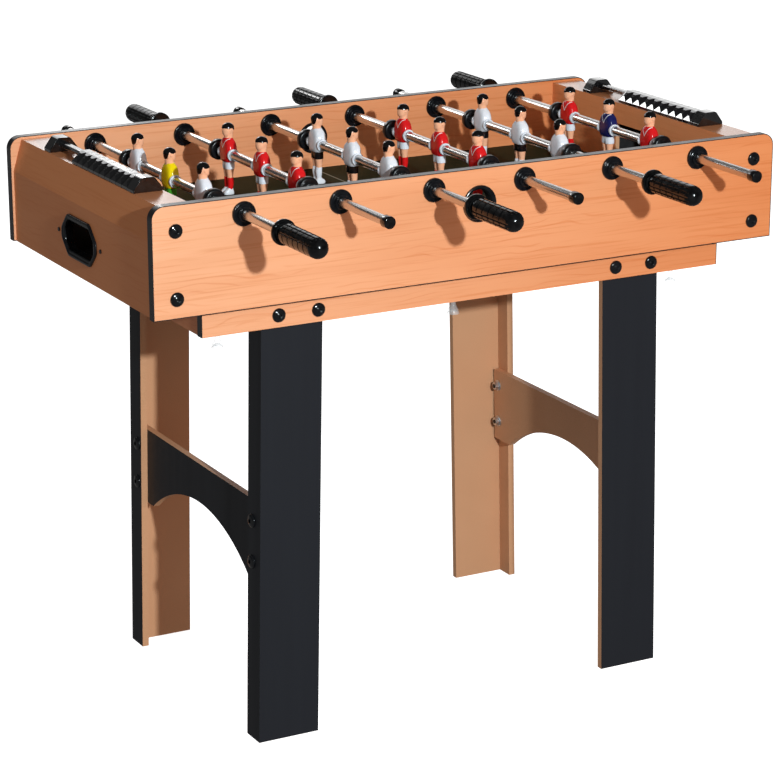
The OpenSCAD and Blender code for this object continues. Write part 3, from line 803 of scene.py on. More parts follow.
@dataclass
class SuctionFeet:
    """Clear suction cups for play on a table top. Sizes are in millimetres."""

    radius: float = 8.0
    height: float = 16.0

    def build(self, placer: Placer) -> None:
        """Draws one cup and sets six."""
        r, h = self.radius, self.height
        outside = [(0.0, 0.0), (3.5, 0.0), (3.5, -h * 0.3), (r * 0.55, -h * 0.42), (r * 0.78, -h * 0.62),
                   (r * 0.92, -h * 0.85), (r, -h)]
        inside = [(r - 0.9, -h), (r * 0.72, -h * 0.84), (r * 0.4, -h * 0.7), (0.0, -h * 0.64)]
        mesh = turned("cup_mesh", VINYL, outside + inside, 36, 60)
        low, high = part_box("suction_feet")
        start, end = low.x + r * MM, high.x - r * MM
        for k in range(3):
            x = start + (end - start) * k / 2
            for side, y in (("front", low.y + r * MM), ("back", high.y - r * MM)):
                placer.put(f"suction_foot_{side}_{k + 1}", mesh, (x, y, high.z), "suction_feet")
        LOG.info("suction feet: 6")


# ---- openings in the boards ----


@dataclass
class Openings:
    """Ball entries in the side panels and rims round the ball returns. Sizes are in millimetres."""

    entry_r: float = 17.0
    flange_r: float = 23.0
    sleeve_r: float = 19.0
    side_y: float = 230.0
    panel_t: float = 12.0
    rim_w: float = 108.0
    rim_h: float = 54.0
    rim_cut: float = 20.0
    corner: float = 4.6
    open_w: float = 90.0
    open_h: float = 38.0
    rim_t: float = 3.0
    sleeve_in: float = 10.0

    def entry(self) -> Mesh:
        """Draws a ball entry along +Z with the panel's outer face at 0."""
        r, f, back = self.entry_r, self.flange_r, -self.panel_t
        profile = [(r + 0.2, back - 2.2), (r + 1.0, back - 2.5), (f - 2.8, back - 2.5), (f - 2.0, back - 1.8),
                   (f - 2.0, back), (self.sleeve_r, back), (self.sleeve_r, 0.0), (f, 0.0), (f, 1.6),
                   (f - 0.5, 2.6), (f - 1.4, 3.0), (f - 2.2, 2.8), (f - 2.8, 2.2), (r + 2.9, 1.9),
                   (r + 1.6, 1.2), (r + 0.4, -0.6), (r, -2.4)]
        work = bmesh.new()
        tube(work, lathe(profile, 64))
        for face in work.faces:
            face.material_index = int(face.calc_center_median().xy.length < (r + 0.7) * MM)
        return to_mesh(work, "entry_mesh", [TRIM, LINER], 35)

    def octagon(self, width: float, height: float, cut: float, depth: float) -> list[Vector]:
        """Rectangle with its corners cut, its corners rounded a little, at a depth along Z."""
        x, y = width / 2, height / 2
        corners = [(x - cut, -y), (x, -y + cut), (x, y - cut), (x - cut, y),
                   (-x + cut, y), (-x, y - cut), (-x, -y + cut), (-x + cut, -y)]
        ring = []
        for k, corner in enumerate(corners):
            here, before, after = Vector(corner), Vector(corners[k - 1]), Vector(corners[(k + 1) % 8])
            start = here + (before - here).normalized() * self.corner
            end = here + (after - here).normalized() * self.corner
            for t in (0.0, 0.2, 0.4, 0.6, 0.8, 1.0):
                point = start * (1 - t) ** 2 + here * 2 * t * (1 - t) + end * t ** 2
                ring.append(Vector((point.x, point.y, depth)) * MM)
        return ring

    def rim(self) -> Mesh:
        """Draws a rim along +Z with the wall's outer face at 0."""
        w, h, c, t = self.rim_w, self.rim_h, self.rim_cut, self.rim_t
        ow, oh, oc = self.open_w, self.open_h, self.rim_cut / 2
        sw, sh = (w + ow) / 2, (h + oh) / 2
        steps = [(w, h, c, 0.0), (w, h, c, t - 1.4), (w - 1.0, h - 1.0, c - 0.3, t - 0.5),
                 (w - 3, h - 3, c - 0.8, t), (w - 6, h - 6, c - 2.0, t),
                 (w - 8, h - 7.5, c - 3.0, t - 0.6), (ow + 7, oh + 6, oc + 4.5, t - 1.0),
                 (ow + 3, oh + 3, oc + 2, t - 1.2), (ow + 0.6, oh + 0.6, oc + 0.3, t - 2.2), (ow, oh, oc, -0.5),
                 (ow, oh, oc, -self.sleeve_in), (sw, sh, c, -self.sleeve_in), (sw, sh, c, 0.0)]
        work = bmesh.new()
        tube(work, [self.octagon(*step) for step in steps])
        return to_mesh(work, "rim_mesh", [TRIM], 30)

    def build(self, placer: Placer) -> None:
        """Sets both entries and both rims."""
        low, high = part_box("ball_entries")
        entry, rim, upright = self.entry(), self.rim(), Matrix.Rotation(math.pi / 2, 4, "Z")
        for side, sign in SIDES:
            placer.put(f"ball_entry_{side}", entry, (0.0, sign * self.side_y * MM, (low.z + high.z) / 2),
                       "ball_entries", AIM["Y", sign])
        low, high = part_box("return_rims")
        seat = high.x - self.rim_t * MM
        for side, sign in ENDS_X:
            placer.put(f"return_rim_{side}", rim, (sign * seat, 0.0, (low.z + high.z) / 2),
                       "return_rims", AIM["X", sign] @ upright)
        LOG.info("openings: 2 ball entries and 2 return rims")


# ---- scorers ----


@dataclass
class Scorer:
    """Sliding score counters on a bar between two brackets, at one end. Sizes are in millimetres."""

    side: str = "left"
    width: float = 38.0
    bracket_l: float = 20.0
    bracket_h: float = 18.0
    bar: tuple[float, float] = (4.8, 3.4)
    bar_up: float = 9.0
    count: int = 10
    pitch: float = 17.2
    gap: float = 0.3
    top: float = 15.3
    waist: float = 9.4
    shoulder: float = 3.4
    bracket_round: float = 0.7
    counter_round: float = 0.35

    def prism(self, half: Sequence[tuple[float, float]], length: float) -> Work:
        """A block along Y with a symmetric cross-section.

        Args:
            half: the section's points on the side of +X, from the base up.
            length: size along Y.

        Returns:
            The work mesh, standing on z = 0 in the middle of its footprint.
        """
        section = [*half, *((-x, z) for x, z in reversed(half))]
        work = bmesh.new()
        loft(work, [[Vector((x, y, z)) * MM for x, z in section] for y in (-length / 2, length / 2)])
        return work

    def bracket(self) -> Mesh:
        """Draws a bracket: a low shoulder, sloped flanks and a rounded top."""
        x, h = self.width / 2, self.bracket_h
        half = [(x, 0.0), (x, 3.6), (x - 0.8, 4.8), (10.2, h - 2.3), (9.0, h - 1.1), (7.4, h - 0.3), (5.6, h)]
        return to_mesh(self.prism(half, self.bracket_l), f"{self.side}_bracket_mesh", [SCORER], 35)

    def counter(self) -> Mesh:
        """Draws an arched counter whose four corners are cut by planes, with the bar's hole through it."""
        x, y = (self.width - 1) / 2, (self.pitch - self.gap) / 2
        half = [(x, 0.0), (x, self.shoulder), (x - 3.1, self.waist), (9.9, self.top - 1.7), (5.0, self.top)]
        work = self.prism(half, 2 * y)
        for sx, sy in product((-1, 1), repeat=2):
            low, high, middle = (Vector((sx * px, sy * py, pz)) * MM for px, py, pz in (
                (x, y, self.shoulder), (5.0, y, self.top), (x - 3.1, 1.3, self.waist)))
            normal = (high - low).cross(middle - low)
            if normal.z < 0:
                normal.negate()
            bmesh.ops.bisect_plane(work, geom=[*work.verts, *work.edges, *work.faces], dist=1e-8,
                                   plane_co=low, plane_no=normal, clear_outer=True)
            bmesh.ops.holes_fill(work, edges=[edge for edge in work.edges if edge.is_boundary])
        for face in work.faces:
            face.smooth = False
        return self.bored(to_mesh(work, f"{self.side}_counter_mesh", [SCORER], 12))

    def rail(self, reach: float, play: float = 0.0) -> Work:
        """A flat bar with rounded edges along Z."""
        across, up = self.bar
        work = bmesh.new()
        loft(work, [oval(z, 0.0, across + play, up + play, 5.0, count=40) for z in (-reach, reach)])
        return work

    def bored(self, mesh: Mesh) -> Mesh:
        """Takes the bar's hole out of a counter."""
        drill = bpy.data.objects.new("drill", to_mesh(self.rail(self.pitch, 0.1), "drill", []))
        block = bpy.data.objects.new("block", mesh)
        drill.matrix_world = Matrix.Translation((0, 0, (self.bar_up - self.gap) * MM)) @ AIM["Y", 1]
        for helper in (drill, block):
            bpy.context.scene.collection.objects.link(helper)
        hole = block.modifiers.new("hole", "BOOLEAN")
        hole.operation, hole.object, hole.solver = "DIFFERENCE", drill, "EXACT"
        bpy.context.view_layer.update()
        shaped = bpy.data.meshes.new_from_object(block.evaluated_get(bpy.context.evaluated_depsgraph_get()))
        shaped.name = mesh.name
        for helper in (drill, block):
            bpy.data.objects.remove(helper)
        return shaped

    def build(self, placer: Placer) -> None:
        """Sets the brackets, the bar and the counters of one side."""
        low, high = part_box("scorer_rails")
        sign = -1 if self.side == "left" else 1
        x, z = sign * (high.x - self.width / 2 * MM), low.z
        end = high.y - self.bracket_l / 2 * MM
        bracket = self.bracket()
        bar = to_mesh(self.rail(high.y / MM - self.bracket_l + 1), f"{self.side}_bar_mesh", [SCORER], 60)
        for name, way in SIDES:
            placer.put(f"{self.side}_bracket_{name}", bracket, (x, way * end, z),
                       "scorer_rails", bevel=self.bracket_round * MM)
        placer.put(f"{self.side}_bar", bar, (x, 0, z + self.bar_up * MM), "scorer_rails",
                   AIM["Y", 1])
        counter = self.counter()
        first_y = low.y + self.bracket_l * MM + (self.gap + (self.pitch - self.gap) / 2) * MM
        for k in range(self.count):
            leads = k == self.count - 1
            node, body = ("counter_first", "counter_lead") if leads else ("counters", "counter_stack")
            where = (x, first_y + k * self.pitch * MM, z + self.gap * MM)
            placer.put(f"{self.side}_counter_{k + 1}", counter, where, f"{self.side}_{node}",
                       body=f"{self.side}_{body}", bevel=self.counter_round * MM)
        LOG.info("%s scorer: %d counters", self.side, self.count)


# ---- rods ----


class Kit(Enum):
    """The four strips that the men wear: shirt, V trim, shorts and socks."""

    WHITE = ("white", (239, 241, 247), (239, 241, 247), (14, 14, 16), (239, 241, 247))
    WHITE_KEEPER = ("white_keeper", (250, 222, 8), (250, 222, 8), (70, 165, 48), (239, 241, 247))
    RED = ("red", (222, 24, 28), (245, 243, 245), (236, 240, 248), (224, 26, 28))
    RED_KEEPER = ("red_keeper", (24, 28, 88), (235, 238, 245), (236, 240, 248), (224, 26, 28))

    def finishes(self) -> list[Finish]:
        """The finishes of a man's seven parts, by material number."""
        name, shirt, trim, shorts, socks = self.value
        glossy = {"roughness": 0.18, "spread": 0.04}
        return [Jersey(f"{name}_shirt", display(*shirt), trim=display(*trim), **glossy), SKIN, HAIR,
                Plastic(f"{name}_shorts", display(*shorts), **glossy),
                Plastic(f"{name}_socks", display(*socks), **glossy), SHOE, HUB]


class Part(IntEnum):
    """Material numbers of a man's parts."""

    SHIRT, SKIN, HAIR, SHORTS, SOCKS, SHOES, HUB = range(7)


@dataclass
class Man:
    """A moulded and painted player that faces +X, with the rod's axis at the origin.

    Sizes are in millimetres. A row holds a height, the middle along x, half of the depth and half of the
    width, and may add the oval's power and pinch. A row of the arm holds a height, a place along y and a
    radius. Long and short hair are given by how many degrees lower they come at the nape, and how many
    degrees higher they stay over the ear.
    """

    boss_r: float = 8.0
    boss_half: float = 16.5
    bore: float = 6.02
    head_z: float = 32.8
    nose_z: float = 29.6
    brow_z: float = 32.0
    face_x: float = 3.5
    ear_at: Point = (-0.7, 7.0, 30.4)
    eye_at: Point = (6.6, 2.7, 31.0)
    leg_y: float = 4.6
    shoe_y: float = 4.1
    long_hair: tuple[float, float] = (66.0, 18.0)
    short_hair: tuple[float, float] = (24.0, 0.0)
    shirt_rows: tuple = ((-9.8, 0.0, 6.9, 10.6, 3.2), (-9.0, 0.0, 7.6, 11.8, 3.4), (-5.0, 0.0, 8.0, 13.4, 3.6),
                         (0.0, 0.0, 8.1, 14.4, 3.8), (4.0, 0.0, 8.1, 14.4, 3.8), (8.0, 0.0, 8.0, 13.9, 3.8),
                         (11.5, 0.0, 7.8, 13.1, 3.6), (14.5, 0.0, 7.4, 12.1, 3.3), (16.8, 0.0, 6.8, 10.6, 3.0),
                         (18.6, 0.0, 6.1, 8.9, 2.6), (20.0, 0.0, 5.6, 7.2, 2.3), (20.8, -0.1, 5.3, 6.3, 2.1))
    shorts_rows: tuple = ((-19.4, 0.0, 5.6, 9.3, 2.8, 0.34), (-19.0, 0.0, 6.2, 9.9, 2.9, 0.3),
                          (-15.0, 0.0, 6.4, 10.0, 2.8, 0.2), (-11.0, 0.0, 6.4, 9.9, 2.7, 0.08),
                          (-7.0, 0.0, 6.3, 9.6, 2.6, 0.0))
    leg_rows: tuple = ((-32.0, -0.1, 3.6, 3.5), (-30.0, 0.2, 3.6, 3.6), (-27.0, 0.2, 4.0, 3.9),
                       (-22.0, 0.2, 4.7, 4.3), (-17.0, 0.2, 5.0, 4.4))
    sock_rows: tuple = ((-47.0, 0.1, 3.0, 2.9), (-44.0, 0.0, 3.2, 3.1), (-39.5, -0.3, 4.0, 3.8),
                        (-35.0, -0.4, 4.3, 4.1), (-31.6, -0.1, 4.1, 4.0), (-30.6, 0.0, 4.0, 3.9),
                        (-30.3, 0.0, 3.4, 3.4))
    shoe_rows: tuple = ((-52.5, 2.0, 6.6, 3.7), (-52.1, 2.0, 7.0, 4.0), (-49.4, 2.0, 6.9, 4.0),
                        (-47.2, 1.5, 5.7, 3.8), (-45.6, 0.6, 4.0, 3.5), (-44.2, 0.2, 3.3, 3.2))
    neck_rows: tuple = ((18.5, -0.6, 5.4, 5.5), (21.0, -0.6, 5.5, 5.6), (23.4, -0.6, 5.8, 5.7),
                        (26.0, -0.4, 6.2, 5.8))
    head_rows: tuple = ((23.2, 1.7, 3.4, 3.2), (23.8, 1.6, 4.8, 4.6), (25.2, 1.0, 6.2, 5.7),
                        (27.4, 0.4, 7.1, 6.5), (30.6, 0.1, 7.5, 6.9), (34.0, 0.0, 7.3, 6.8),
                        (36.5, 0.0, 6.2, 5.7), (38.2, 0.0, 4.2, 3.9), (39.0, 0.0, 1.8, 1.7))
    arm_rows: tuple = ((0.6, 13.9, 1.2), (1.6, 13.8, 2.0), (5.0, 13.6, 2.3), (8.5, 13.1, 2.4),
                       (12.0, 12.1, 2.4), (15.0, 10.8, 2.2), (17.2, 9.2, 1.7), (18.4, 8.2, 1.0))

    def face(self, mesh: Work) -> None:
        """A plain doll's head with a nose, a brow, eyes and ears."""
        rings = [oval(*row, power=2.2, count=32) for row in self.head_rows]
        for point in (point for ring in rings for point in ring if point.x > self.face_x * MM):
            z = point.z / MM
            middle = bell(point.y / (1.5 * MM))
            point.x += 1.3 * MM * middle * bell((z - self.nose_z) / 1.3)
            point.x -= 0.4 * MM * bell((z - self.brow_z) / 0.9)
        loft(mesh, rings, Part.SKIN)
        ear = (self.ear_at, 1.5, 0.7, 12, Part.SKIN,
               ((-1.9, 0.2), (-1.2, 0.8), (0.0, 1.0), (1.2, 0.9), (1.9, 0.2)))
        eye = (self.eye_at, 0.45, 0.75, 8, Part.HAIR,
               ((-0.5, 0.2), (-0.2, 0.9), (0.2, 0.9), (0.5, 0.2)))
        for side, ((x, y, z), depth, width, count, part, rows) in product((-1, 1), (ear, eye)):
            loft(mesh, [oval(z + up, x, depth * share, width * share, count=count, centre_y=side * y)
                        for up, share in rows], part)

    def hair(self, mesh: Work, nape: float, notch: float, steps: int = 60, rows: int = 10) -> None:
        """A cap of hair with a pointed fringe.

        Args:
            mesh: mesh that takes the faces.
            nape: how many degrees lower the hair comes at the back.
            notch: how many degrees higher it stays over the ear.
            steps: points round the cap.
            rows: rings from the crown to the hairline.
        """
        shape = Vector((8.2, 7.6, 7.2))

        def reach(azimuth: float) -> float:
            """How far down from the crown the hair comes, by the direction from the front."""
            turn = abs(math.remainder(azimuth, 2 * math.pi))
            fringe = 84 + 5 * bell(turn / 0.3) + 5 * bell((turn - 1.3) / 0.25)
            back = nape / (1 + math.exp(-(turn - 2.2) / 0.09)) - notch * bell((turn - 1.95) / 0.14)
            return math.radians(fringe + back)

        def point(azimuth: float, down: float, size: float) -> Vector:
            """A point of the cap."""
            spread = size * (math.sin(min(down, math.pi / 2)) - 0.12 * max(0.0, down - math.pi / 2))
            return Vector((shape.x * spread * math.cos(azimuth) - 0.15, shape.y * spread * math.sin(azimuth),
                           self.head_z + shape.z * size * math.cos(down))) * MM

        rings = [[point(a, reach(a) * k / rows, 1.0) for a in circle(steps)] for k in range(1, rows + 1)]
        rings.append([point(a, reach(a) + 0.04, 0.84) for a in circle(steps)])
        crown = [[point(a, 0.03, 1.0) for a in circle(steps)]]
        loft(mesh, crown + rings, Part.HAIR)

    def hub(self, mesh: Work) -> None:
        """The boss that the rod runs through, with a lip and a groove at each end."""
        r, h, b = self.boss_r, self.boss_half, self.bore
        half = [(r - 0.9, 9.0), (r - 0.9, h - 4.0), (r - 0.2, h - 3.2), (r, h - 2.8), (r, h - 0.5),
                (r - 0.3, h), (r - 0.8, h), (r - 0.95, h - 1.0), (r - 1.35, h - 1.0),
                (r - 1.4, h - 0.2), (b + 0.2, h - 0.2), (b, h - 0.6)]
        profile = [(radius, -height) for radius, height in reversed(half)] + half
        tube(mesh, [[AIM["Y", 1] @ point for point in ring] for ring in lathe(profile, 36)], Part.HUB)

    def mesh(self, kit: Kit) -> Mesh:
        """Draws one man in a strip."""
        work = bmesh.new()
        loft(work, [oval(*row, count=48) for row in self.shirt_rows], Part.SHIRT)
        loft(work, [oval(*row, count=40) for row in self.shorts_rows], Part.SHORTS)
        for side in (-1, 1):
            loft(work, [oval(z, 0.3, r * 2.0, r * 0.75, 2.4, centre_y=side * (y - 0.4))
                        for z, y, r in self.arm_rows], Part.SHIRT)
            for rows, part, power, y in (
                    (self.leg_rows, Part.SKIN, 2.1, self.leg_y), (self.sock_rows, Part.SOCKS, 2.1, self.leg_y),
                    (self.shoe_rows, Part.SHOES, 2.7, self.shoe_y)):
                loft(work, [oval(*row, power=power, centre_y=side * y) for row in rows], part)
        loft(work, [oval(*row) for row in self.neck_rows], Part.SKIN)
        self.face(work)
        self.hair(work, *(self.long_hair if kit in (Kit.WHITE, Kit.WHITE_KEEPER) else self.short_hair))
        self.hub(work)
        return to_mesh(work, f"{kit.value[0]}_man_mesh", kit.finishes(), 50)


@dataclass
class Handle:
    """Push-on grip along +Z: a collar, a neck, flutes with cuts across them, and a round end.

    Sizes are in millimetres. The flutes run along the grip, at their angles on either side of it.
    """

    length: float = 100.0
    grip_r: float = 12.5
    collar_r: float = 15.5
    collar_t: float = 6.5
    neck_r: float = 10.0
    flutes_deg: tuple[float, ...] = (37.0, 63.5, 90.0, 116.5, 143.0)
    flute_deg: float = 11.0
    flute_depth: float = 1.6
    cuts: tuple[float, ...] = (23.5, 36.5, 49.5, 62.5, 75.5)
    cut_w: float = 1.7
    cut_depth: float = 1.3
    bore: float = 6.02
    bore_l: float = 82.0
    steps: int = 180

    def outline(self) -> list[tuple[float, float]]:
        """Radius and height down the outside, from the collar to the tip."""
        c, t, g, n = self.collar_r, self.collar_t, self.grip_r, self.neck_r
        rows = [(c - 3.4, 0.0), (c - 3.1, 0.4), (c - 2.6, 0.4), (c - 2.3, 0.0), (c - 1.2, 0.0), (c - 0.4, 0.4),
                (c, 1.3), (c, t - 2.2), (c - 0.4, t - 1.2), (c - 1.2, t - 0.5), (c - 2.0, t - 0.4),
                (c - 2.3, t - 1.0), (c - 2.7, t - 1.0), (c - 3.0, t - 0.4), (n + 1.0, t - 0.4),
                (n + 0.2, t + 0.2), (n, t + 1.0), (n, t + 4.4), (n + 0.6, t + 5.4), (g - 1.2, t + 6.3),
                (g - 0.4, t + 6.9), (g, t + 7.9)]
        straight = self.length - g
        half = self.cut_w / 2
        levels = {t + 9.0, straight}
        for cut in self.cuts:
            levels |= {cut - half - 0.25, cut - half, cut, cut + half, cut + half + 0.25, cut + 6.5}
        rows += [(g, z) for z in sorted(levels)]
        rows += [(g * math.cos(a), straight + g * math.sin(a))
                 for a in (math.radians(d) for d in range(5, 90, 5))]
        return rows

    def fluted(self, radius: float, z: float) -> Radius:
        """Radius at a height once the flutes and the cross cuts are out."""
        if z < self.collar_t + 6.5:
            return radius
        cut = self.cut_depth if any(abs(z - c) <= self.cut_w / 2 + 0.01 for c in self.cuts) else 0.0

        def at(angle: float) -> float:
            """Radius at an angle."""
            turn = abs(math.degrees(math.remainder(angle, 2 * math.pi)))
            off = min(abs(turn - middle) for middle in self.flutes_deg)
            share = min(1.0, max(0.0, (self.flute_deg / 2 + 0.6 - off) / 2.2))
            return min(radius, self.grip_r - max(cut, self.flute_depth * share))
        return at

    def mesh(self) -> Mesh:
        """Draws the grip with the rod's blind hole."""
        outside = [(self.fluted(r, z), z) for r, z in self.outline()]
        deep, bore = self.bore_l + 0.3, self.bore
        inside = [(0.0, deep), (bore, deep), (bore, 0.6), (bore + 0.6, 0.0)]
        return turned("handle_mesh", GRIP, [*inside, *outside, (0.01, self.length)], self.steps, 32)


@dataclass
class RodFittings:
    """Bushings, bumper rings and end caps, drawn along +Z. Sizes are in millimetres."""

    bush_r: float = 15.0
    flange_t: float = 3.5
    lip: float = 2.0
    panel_t: float = 12.0
    sleeve_r: float = 9.3
    bore: float = 6.05
    ring_r: float = 13.5
    ring_l: float = 10.0
    cap_r: float = 7.5
    cap_l: float = 13.0

    def face(self, seat: float, sign: int) -> list[tuple[float, float]]:
        """Profile of one dished flange from its rim in to the bore."""
        r, t, s = self.bush_r, self.flange_t, self.sleeve_r
        b, top = self.bore, t + self.lip
        rows = [(r, 0.0), (r, t - 1.6), (r - 0.35, t - 0.6), (r - 1.1, t - 0.05), (r - 1.9, t),
                (r - 2.7, t - 0.35), (r - 3.2, t - 1.1), (s + 0.9, t - 1.3), (s + 0.2, t - 0.9), (s, t - 0.2),
                (s - 0.1, top - 0.8), (s - 0.8, top), (b + 0.9, top), (b, top - 0.8)]
        return [(radius, seat + sign * height) for radius, height in rows]

    def bushing(self) -> Mesh:
        """Both flanges and the sleeve, with the panel's outer face at 0."""
        profile = [(self.sleeve_r, -self.panel_t), (self.sleeve_r, 0.0), *self.face(0.0, 1),
                   *reversed(self.face(-self.panel_t, -1))]
        return turned("bushing_mesh", BUSHING, profile, 56, 35, bored=True)

    def ring(self) -> Mesh:
        """A bumper ring round the middle of the origin."""
        r, h, b = self.ring_r, self.ring_l / 2, self.bore
        half = [(r, 0.0), (r, h - 2.2), (r - 0.35, h - 1.2), (r - 1.1, h - 0.4), (r - 2.2, h), (b + 1.8, h),
                (b + 1.0, h - 0.3), (b, h - 0.9)]
        profile = [(radius, -z) for radius, z in reversed(half[1:])] + half
        return turned("ring_mesh", RUBBER, profile, 56, 50, bored=True)

    def cap(self) -> Mesh:
        """An end cap with its closed end at 0 and the rod coming in from +Z."""
        r, h = self.cap_r, self.cap_l
        profile = [(0.0, 0.35), (r - 3.0, 0.3), (r - 1.6, 0.0), (r - 0.7, 0.25), (r - 0.15, 0.9), (r, 1.8),
                   (r, h - 0.8), (r - 0.4, h), (6.3, h), (6.02, h - 0.4), (6.02, 2.0), (0.0, 2.0)]
        return turned("cap_mesh", GRIP, profile, 40, 40)


def axis(node: str) -> tuple[float, float]:
    """Middle of a node along X and Z."""
    low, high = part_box(node)
    return (low.x + high.x) / 2, (low.z + high.z) / 2


@dataclass
class Rod:
    """One rod with its handle, cap, men and bumper rings."""

    name: str
    kit: Kit
    keeper: Kit
    handle_turn_deg: float = 0.0

    def build(self, placer: Placer, meshes: dict[str, Mesh]) -> None:
        """Sets the pieces where the packed rod has its solids.

        Args:
            placer: sets the pieces.
            meshes: meshes of the handle, cap, ring and men, by name.
        """
        name, rod = self.name, f"{self.name}_rod"
        x, z = axis(f"{name}_tube")
        low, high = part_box(f"{name}_men")
        pitch = (high.y - low.y) / 2 - Man().boss_half * MM
        team, turn = ("white_plastic", 0.0) if self.kit is Kit.WHITE else ("red_plastic", math.pi)
        for k, (tag, kit) in enumerate((("near", self.kit), ("middle", self.keeper), ("far", self.kit))):
            where = (x, (low.y + high.y) / 2 + (k - 1) * pitch, z)
            placer.put(f"{name}_man_{tag}", meshes[kit.name], where, f"{name}_men",
                       Matrix.Rotation(turn, 4, "Z"), rod)
        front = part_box(f"{name}_handle")[1].y < 0
        for part, tag, degrees in (("handle", "grip", self.handle_turn_deg), ("cap", "end_cap", 0.0)):
            low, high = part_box(f"{name}_{part}")
            turn = AIM["Y", -1 if front else 1] @ Matrix.Rotation(math.radians(degrees), 4, "Z")
            placer.put(f"{name}_{tag}", meshes[part], (x, high.y if front else low.y, z),
                       f"{name}_{part}", turn, rod)
        low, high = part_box(f"{name}_rings")
        half = RodFittings().ring_l / 2 * MM
        for tag, y in (("near", low.y + half), ("far", high.y - half)):
            placer.put(f"{name}_ring_{tag}", meshes["ring"], (x, y, z), f"{name}_rings",
                       AIM["Y", 1], f"{name}_slider")
        dress_nodes(CHROME, f"{name}_tube")
        LOG.info("%s: 3 men, 2 rings, a grip and a cap", name)


def rods(placer: Placer) -> None:
    """Builds the six rods and their twelve bushings."""
    fittings = RodFittings()
    meshes = {"handle": Handle().mesh(), "cap": fittings.cap(), "ring": fittings.ring()}
    meshes |= {kit.name: Man().mesh(kit) for kit in Kit}
    bushing = fittings.bushing()
    faces = {"front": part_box("front_panel")[0].y, "back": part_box("back_panel")[1].y}
    for name, kit, keeper, turn in (
            ("white_keeper", Kit.WHITE, Kit.WHITE_KEEPER, 17), ("red_attack", Kit.RED, Kit.RED, 75),
            ("white_midfield", Kit.WHITE, Kit.WHITE, 150), ("red_midfield", Kit.RED, Kit.RED, 100),
            ("white_attack", Kit.WHITE, Kit.WHITE, 92), ("red_keeper", Kit.RED, Kit.RED_KEEPER, -5)):
        Rod(name, kit, keeper, turn).build(placer, meshes)
        x, z = axis(f"{name}_tube")
        for side, sign in SIDES:
            placer.put(f"{name}_bushing_{side}", bushing, (x, faces[side], z), "rod_bushings",
                       AIM["Y", sign])


# ---- studio ----


@dataclass(frozen=True)
class Lamp:
    """An area light that the camera does not see."""

    name: str
    where: Point
    size: tuple[float, float]
    watts: float
    aim: Point = (0.0, 0.0, 0.65)
    colour: Colour = (1.0, 1.0, 1.0)
    shape: str = "RECTANGLE"
    mirrored: bool = True

    def build(self) -> None:
        """Adds the light."""
        data = bpy.data.lights.new(self.name, "AREA")
        data.shape, data.energy, data.color = self.shape, self.watts, self.colour
        data.size, data.size_y = self.size
        lamp = bpy.data.objects.new(self.name, data)
        towards = (Vector(self.where) - Vector(self.aim)).to_track_quat("Z", "Y")
        lamp.matrix_world = Matrix.Translation(self.where) @ towards.to_matrix().to_4x4()
        lamp.visible_camera = False
        lamp.visible_glossy = self.mirrored
        bpy.context.scene.collection.objects.link(lamp)


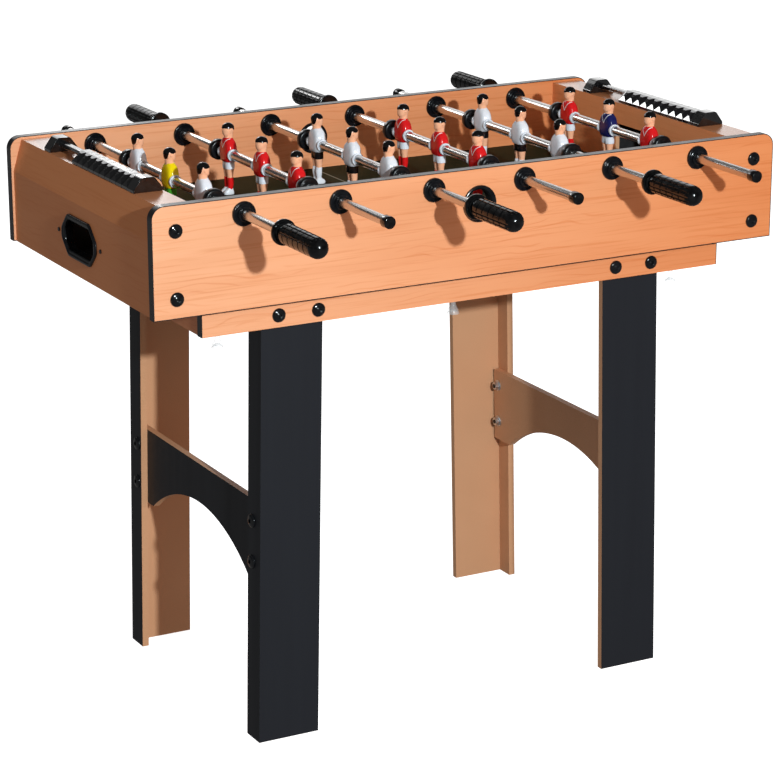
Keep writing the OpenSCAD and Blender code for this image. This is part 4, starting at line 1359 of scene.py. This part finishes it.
@dataclass
class Studio:
    """Floor, lights and camera. Angles are in radians, and the lens and its sensor are in millimetres."""

    eye: Point = (-1.6913, -3.1308, 1.4464)
    yaw: float = -0.4805
    pitch: float = -0.2984
    roll: float = 0.0059
    lens: float = 130.24
    sensor: float = 36.0
    clip: tuple[float, float] = (0.1, 60.0)
    shift: tuple[float, float] = (0.0513, 0.0128)
    lamps: tuple[Lamp, ...] = (
        Lamp("key", (-0.555, -3.36, 1.63), (0.09, 0.09), 106.0, colour=(0.83, 0.94, 0.985), shape="ELLIPSE"),
        Lamp("fill", (0.5, -3.3, 1.4), (2.6, 1.6), 19.0, colour=(1.0, 0.55, 0.35), mirrored=False),
        Lamp("soft_box", (0.887, 2.728, 1.66), (3.0, 1.6), 17.5),
        Lamp("rim", (-0.073, 0.819, 1.036), (0.22, 0.16), 1.1, aim=(0.4, 0.0, 0.71)))
    room: float = 0.225
    mirrored: tuple[float, float] = (0.17, 0.06)
    horizon: tuple[float, float] = (-0.1, 0.02)
    floor_half: float = 14.0
    floor_drop: float = 0.0005

    def camera(self) -> None:
        """Sets the camera."""
        data = bpy.data.cameras.new("camera")
        data.sensor_width, data.lens = self.sensor, self.lens
        data.shift_x, data.shift_y = self.shift
        data.clip_start, data.clip_end = self.clip
        camera = bpy.data.objects.new("camera", data)
        turn = (Matrix.Rotation(self.yaw, 4, "Z") @ Matrix.Rotation(self.pitch, 4, "X")
                @ Matrix.Rotation(self.roll, 4, "Y") @ Matrix.Rotation(math.pi / 2, 4, "X"))
        camera.matrix_world = Matrix.Translation(self.eye) @ turn
        bpy.context.scene.collection.objects.link(camera)
        bpy.context.scene.camera = camera

    def backdrop(self) -> None:
        """A white backdrop for the eye, an even grey room for the light, and a two-tone one for reflections."""
        bpy.context.scene.world = bpy.data.worlds.new("room")
        graph = Graph(bpy.context.scene.world)
        up = graph.split(graph.add("ShaderNodeTexCoord").outputs["Generated"])[2]
        tone = graph.add("ShaderNodeMapRange", sockets={
            "Value": up, "From Min": self.horizon[0], "From Max": self.horizon[1],
            "To Min": self.mirrored[0], "To Max": self.mirrored[1]})
        path = graph.add("ShaderNodeLightPath").outputs
        chosen = None
        for kind, strength in ((None, self.room), ("Is Glossy Ray", tone.outputs["Result"]),
                               ("Is Camera Ray", 1.0)):
            shade = graph.add("ShaderNodeBackground", sockets={"Color": (1.0, 1.0, 1.0), "Strength": strength})
            chosen = shade.outputs[0] if kind is None else graph.add(
                "ShaderNodeMixShader", sockets={0: path[kind], 1: chosen, 2: shade.outputs[0]}).outputs[0]
        graph.add("ShaderNodeOutputWorld", sockets={"Surface": chosen})

    def floor(self) -> None:
        """A wide flat floor, hidden from bounced and mirrored rays."""
        work = bmesh.new()
        bmesh.ops.create_grid(work, x_segments=2, y_segments=2, size=self.floor_half)
        floor = bpy.data.objects.new("floor", to_mesh(work, "floor_mesh", [Floor("studio_floor")]))
        bpy.context.scene.collection.objects.link(floor)
        floor.location.z = -self.floor_drop
        floor.visible_diffuse = floor.visible_glossy = False
        floor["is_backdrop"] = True

    def build(self) -> None:
        """Sets up the whole studio."""
        bpy.context.scene.view_settings.view_transform = "Standard"
        self.camera()
        for lamp in self.lamps:
            lamp.build()
        self.backdrop()
        self.floor()
        LOG.info("studio ready")


def corners(box: tuple[Vector, Vector]) -> list[list[float]]:
    """A box as plain lists."""
    return [list(corner) for corner in box]


def main() -> None:
    """Loads the frame and builds everything round it."""
    logging.basicConfig(level=logging.INFO, format="%(message)s", stream=sys.stdout)
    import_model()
    packed = corners(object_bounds())
    placer = Placer()
    Studio().build()
    Cabinet().build()
    Fastening().build(placer)
    SuctionFeet().build(placer)
    Openings().build(placer)
    for side, _ in ENDS_X:
        Scorer(side).build(placer)
    rods(placer)
    LOG.info("%d pieces set", placer.made)
    {"cad": packed, "visual": corners(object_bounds())}


if __name__ == "__main__":
    main()
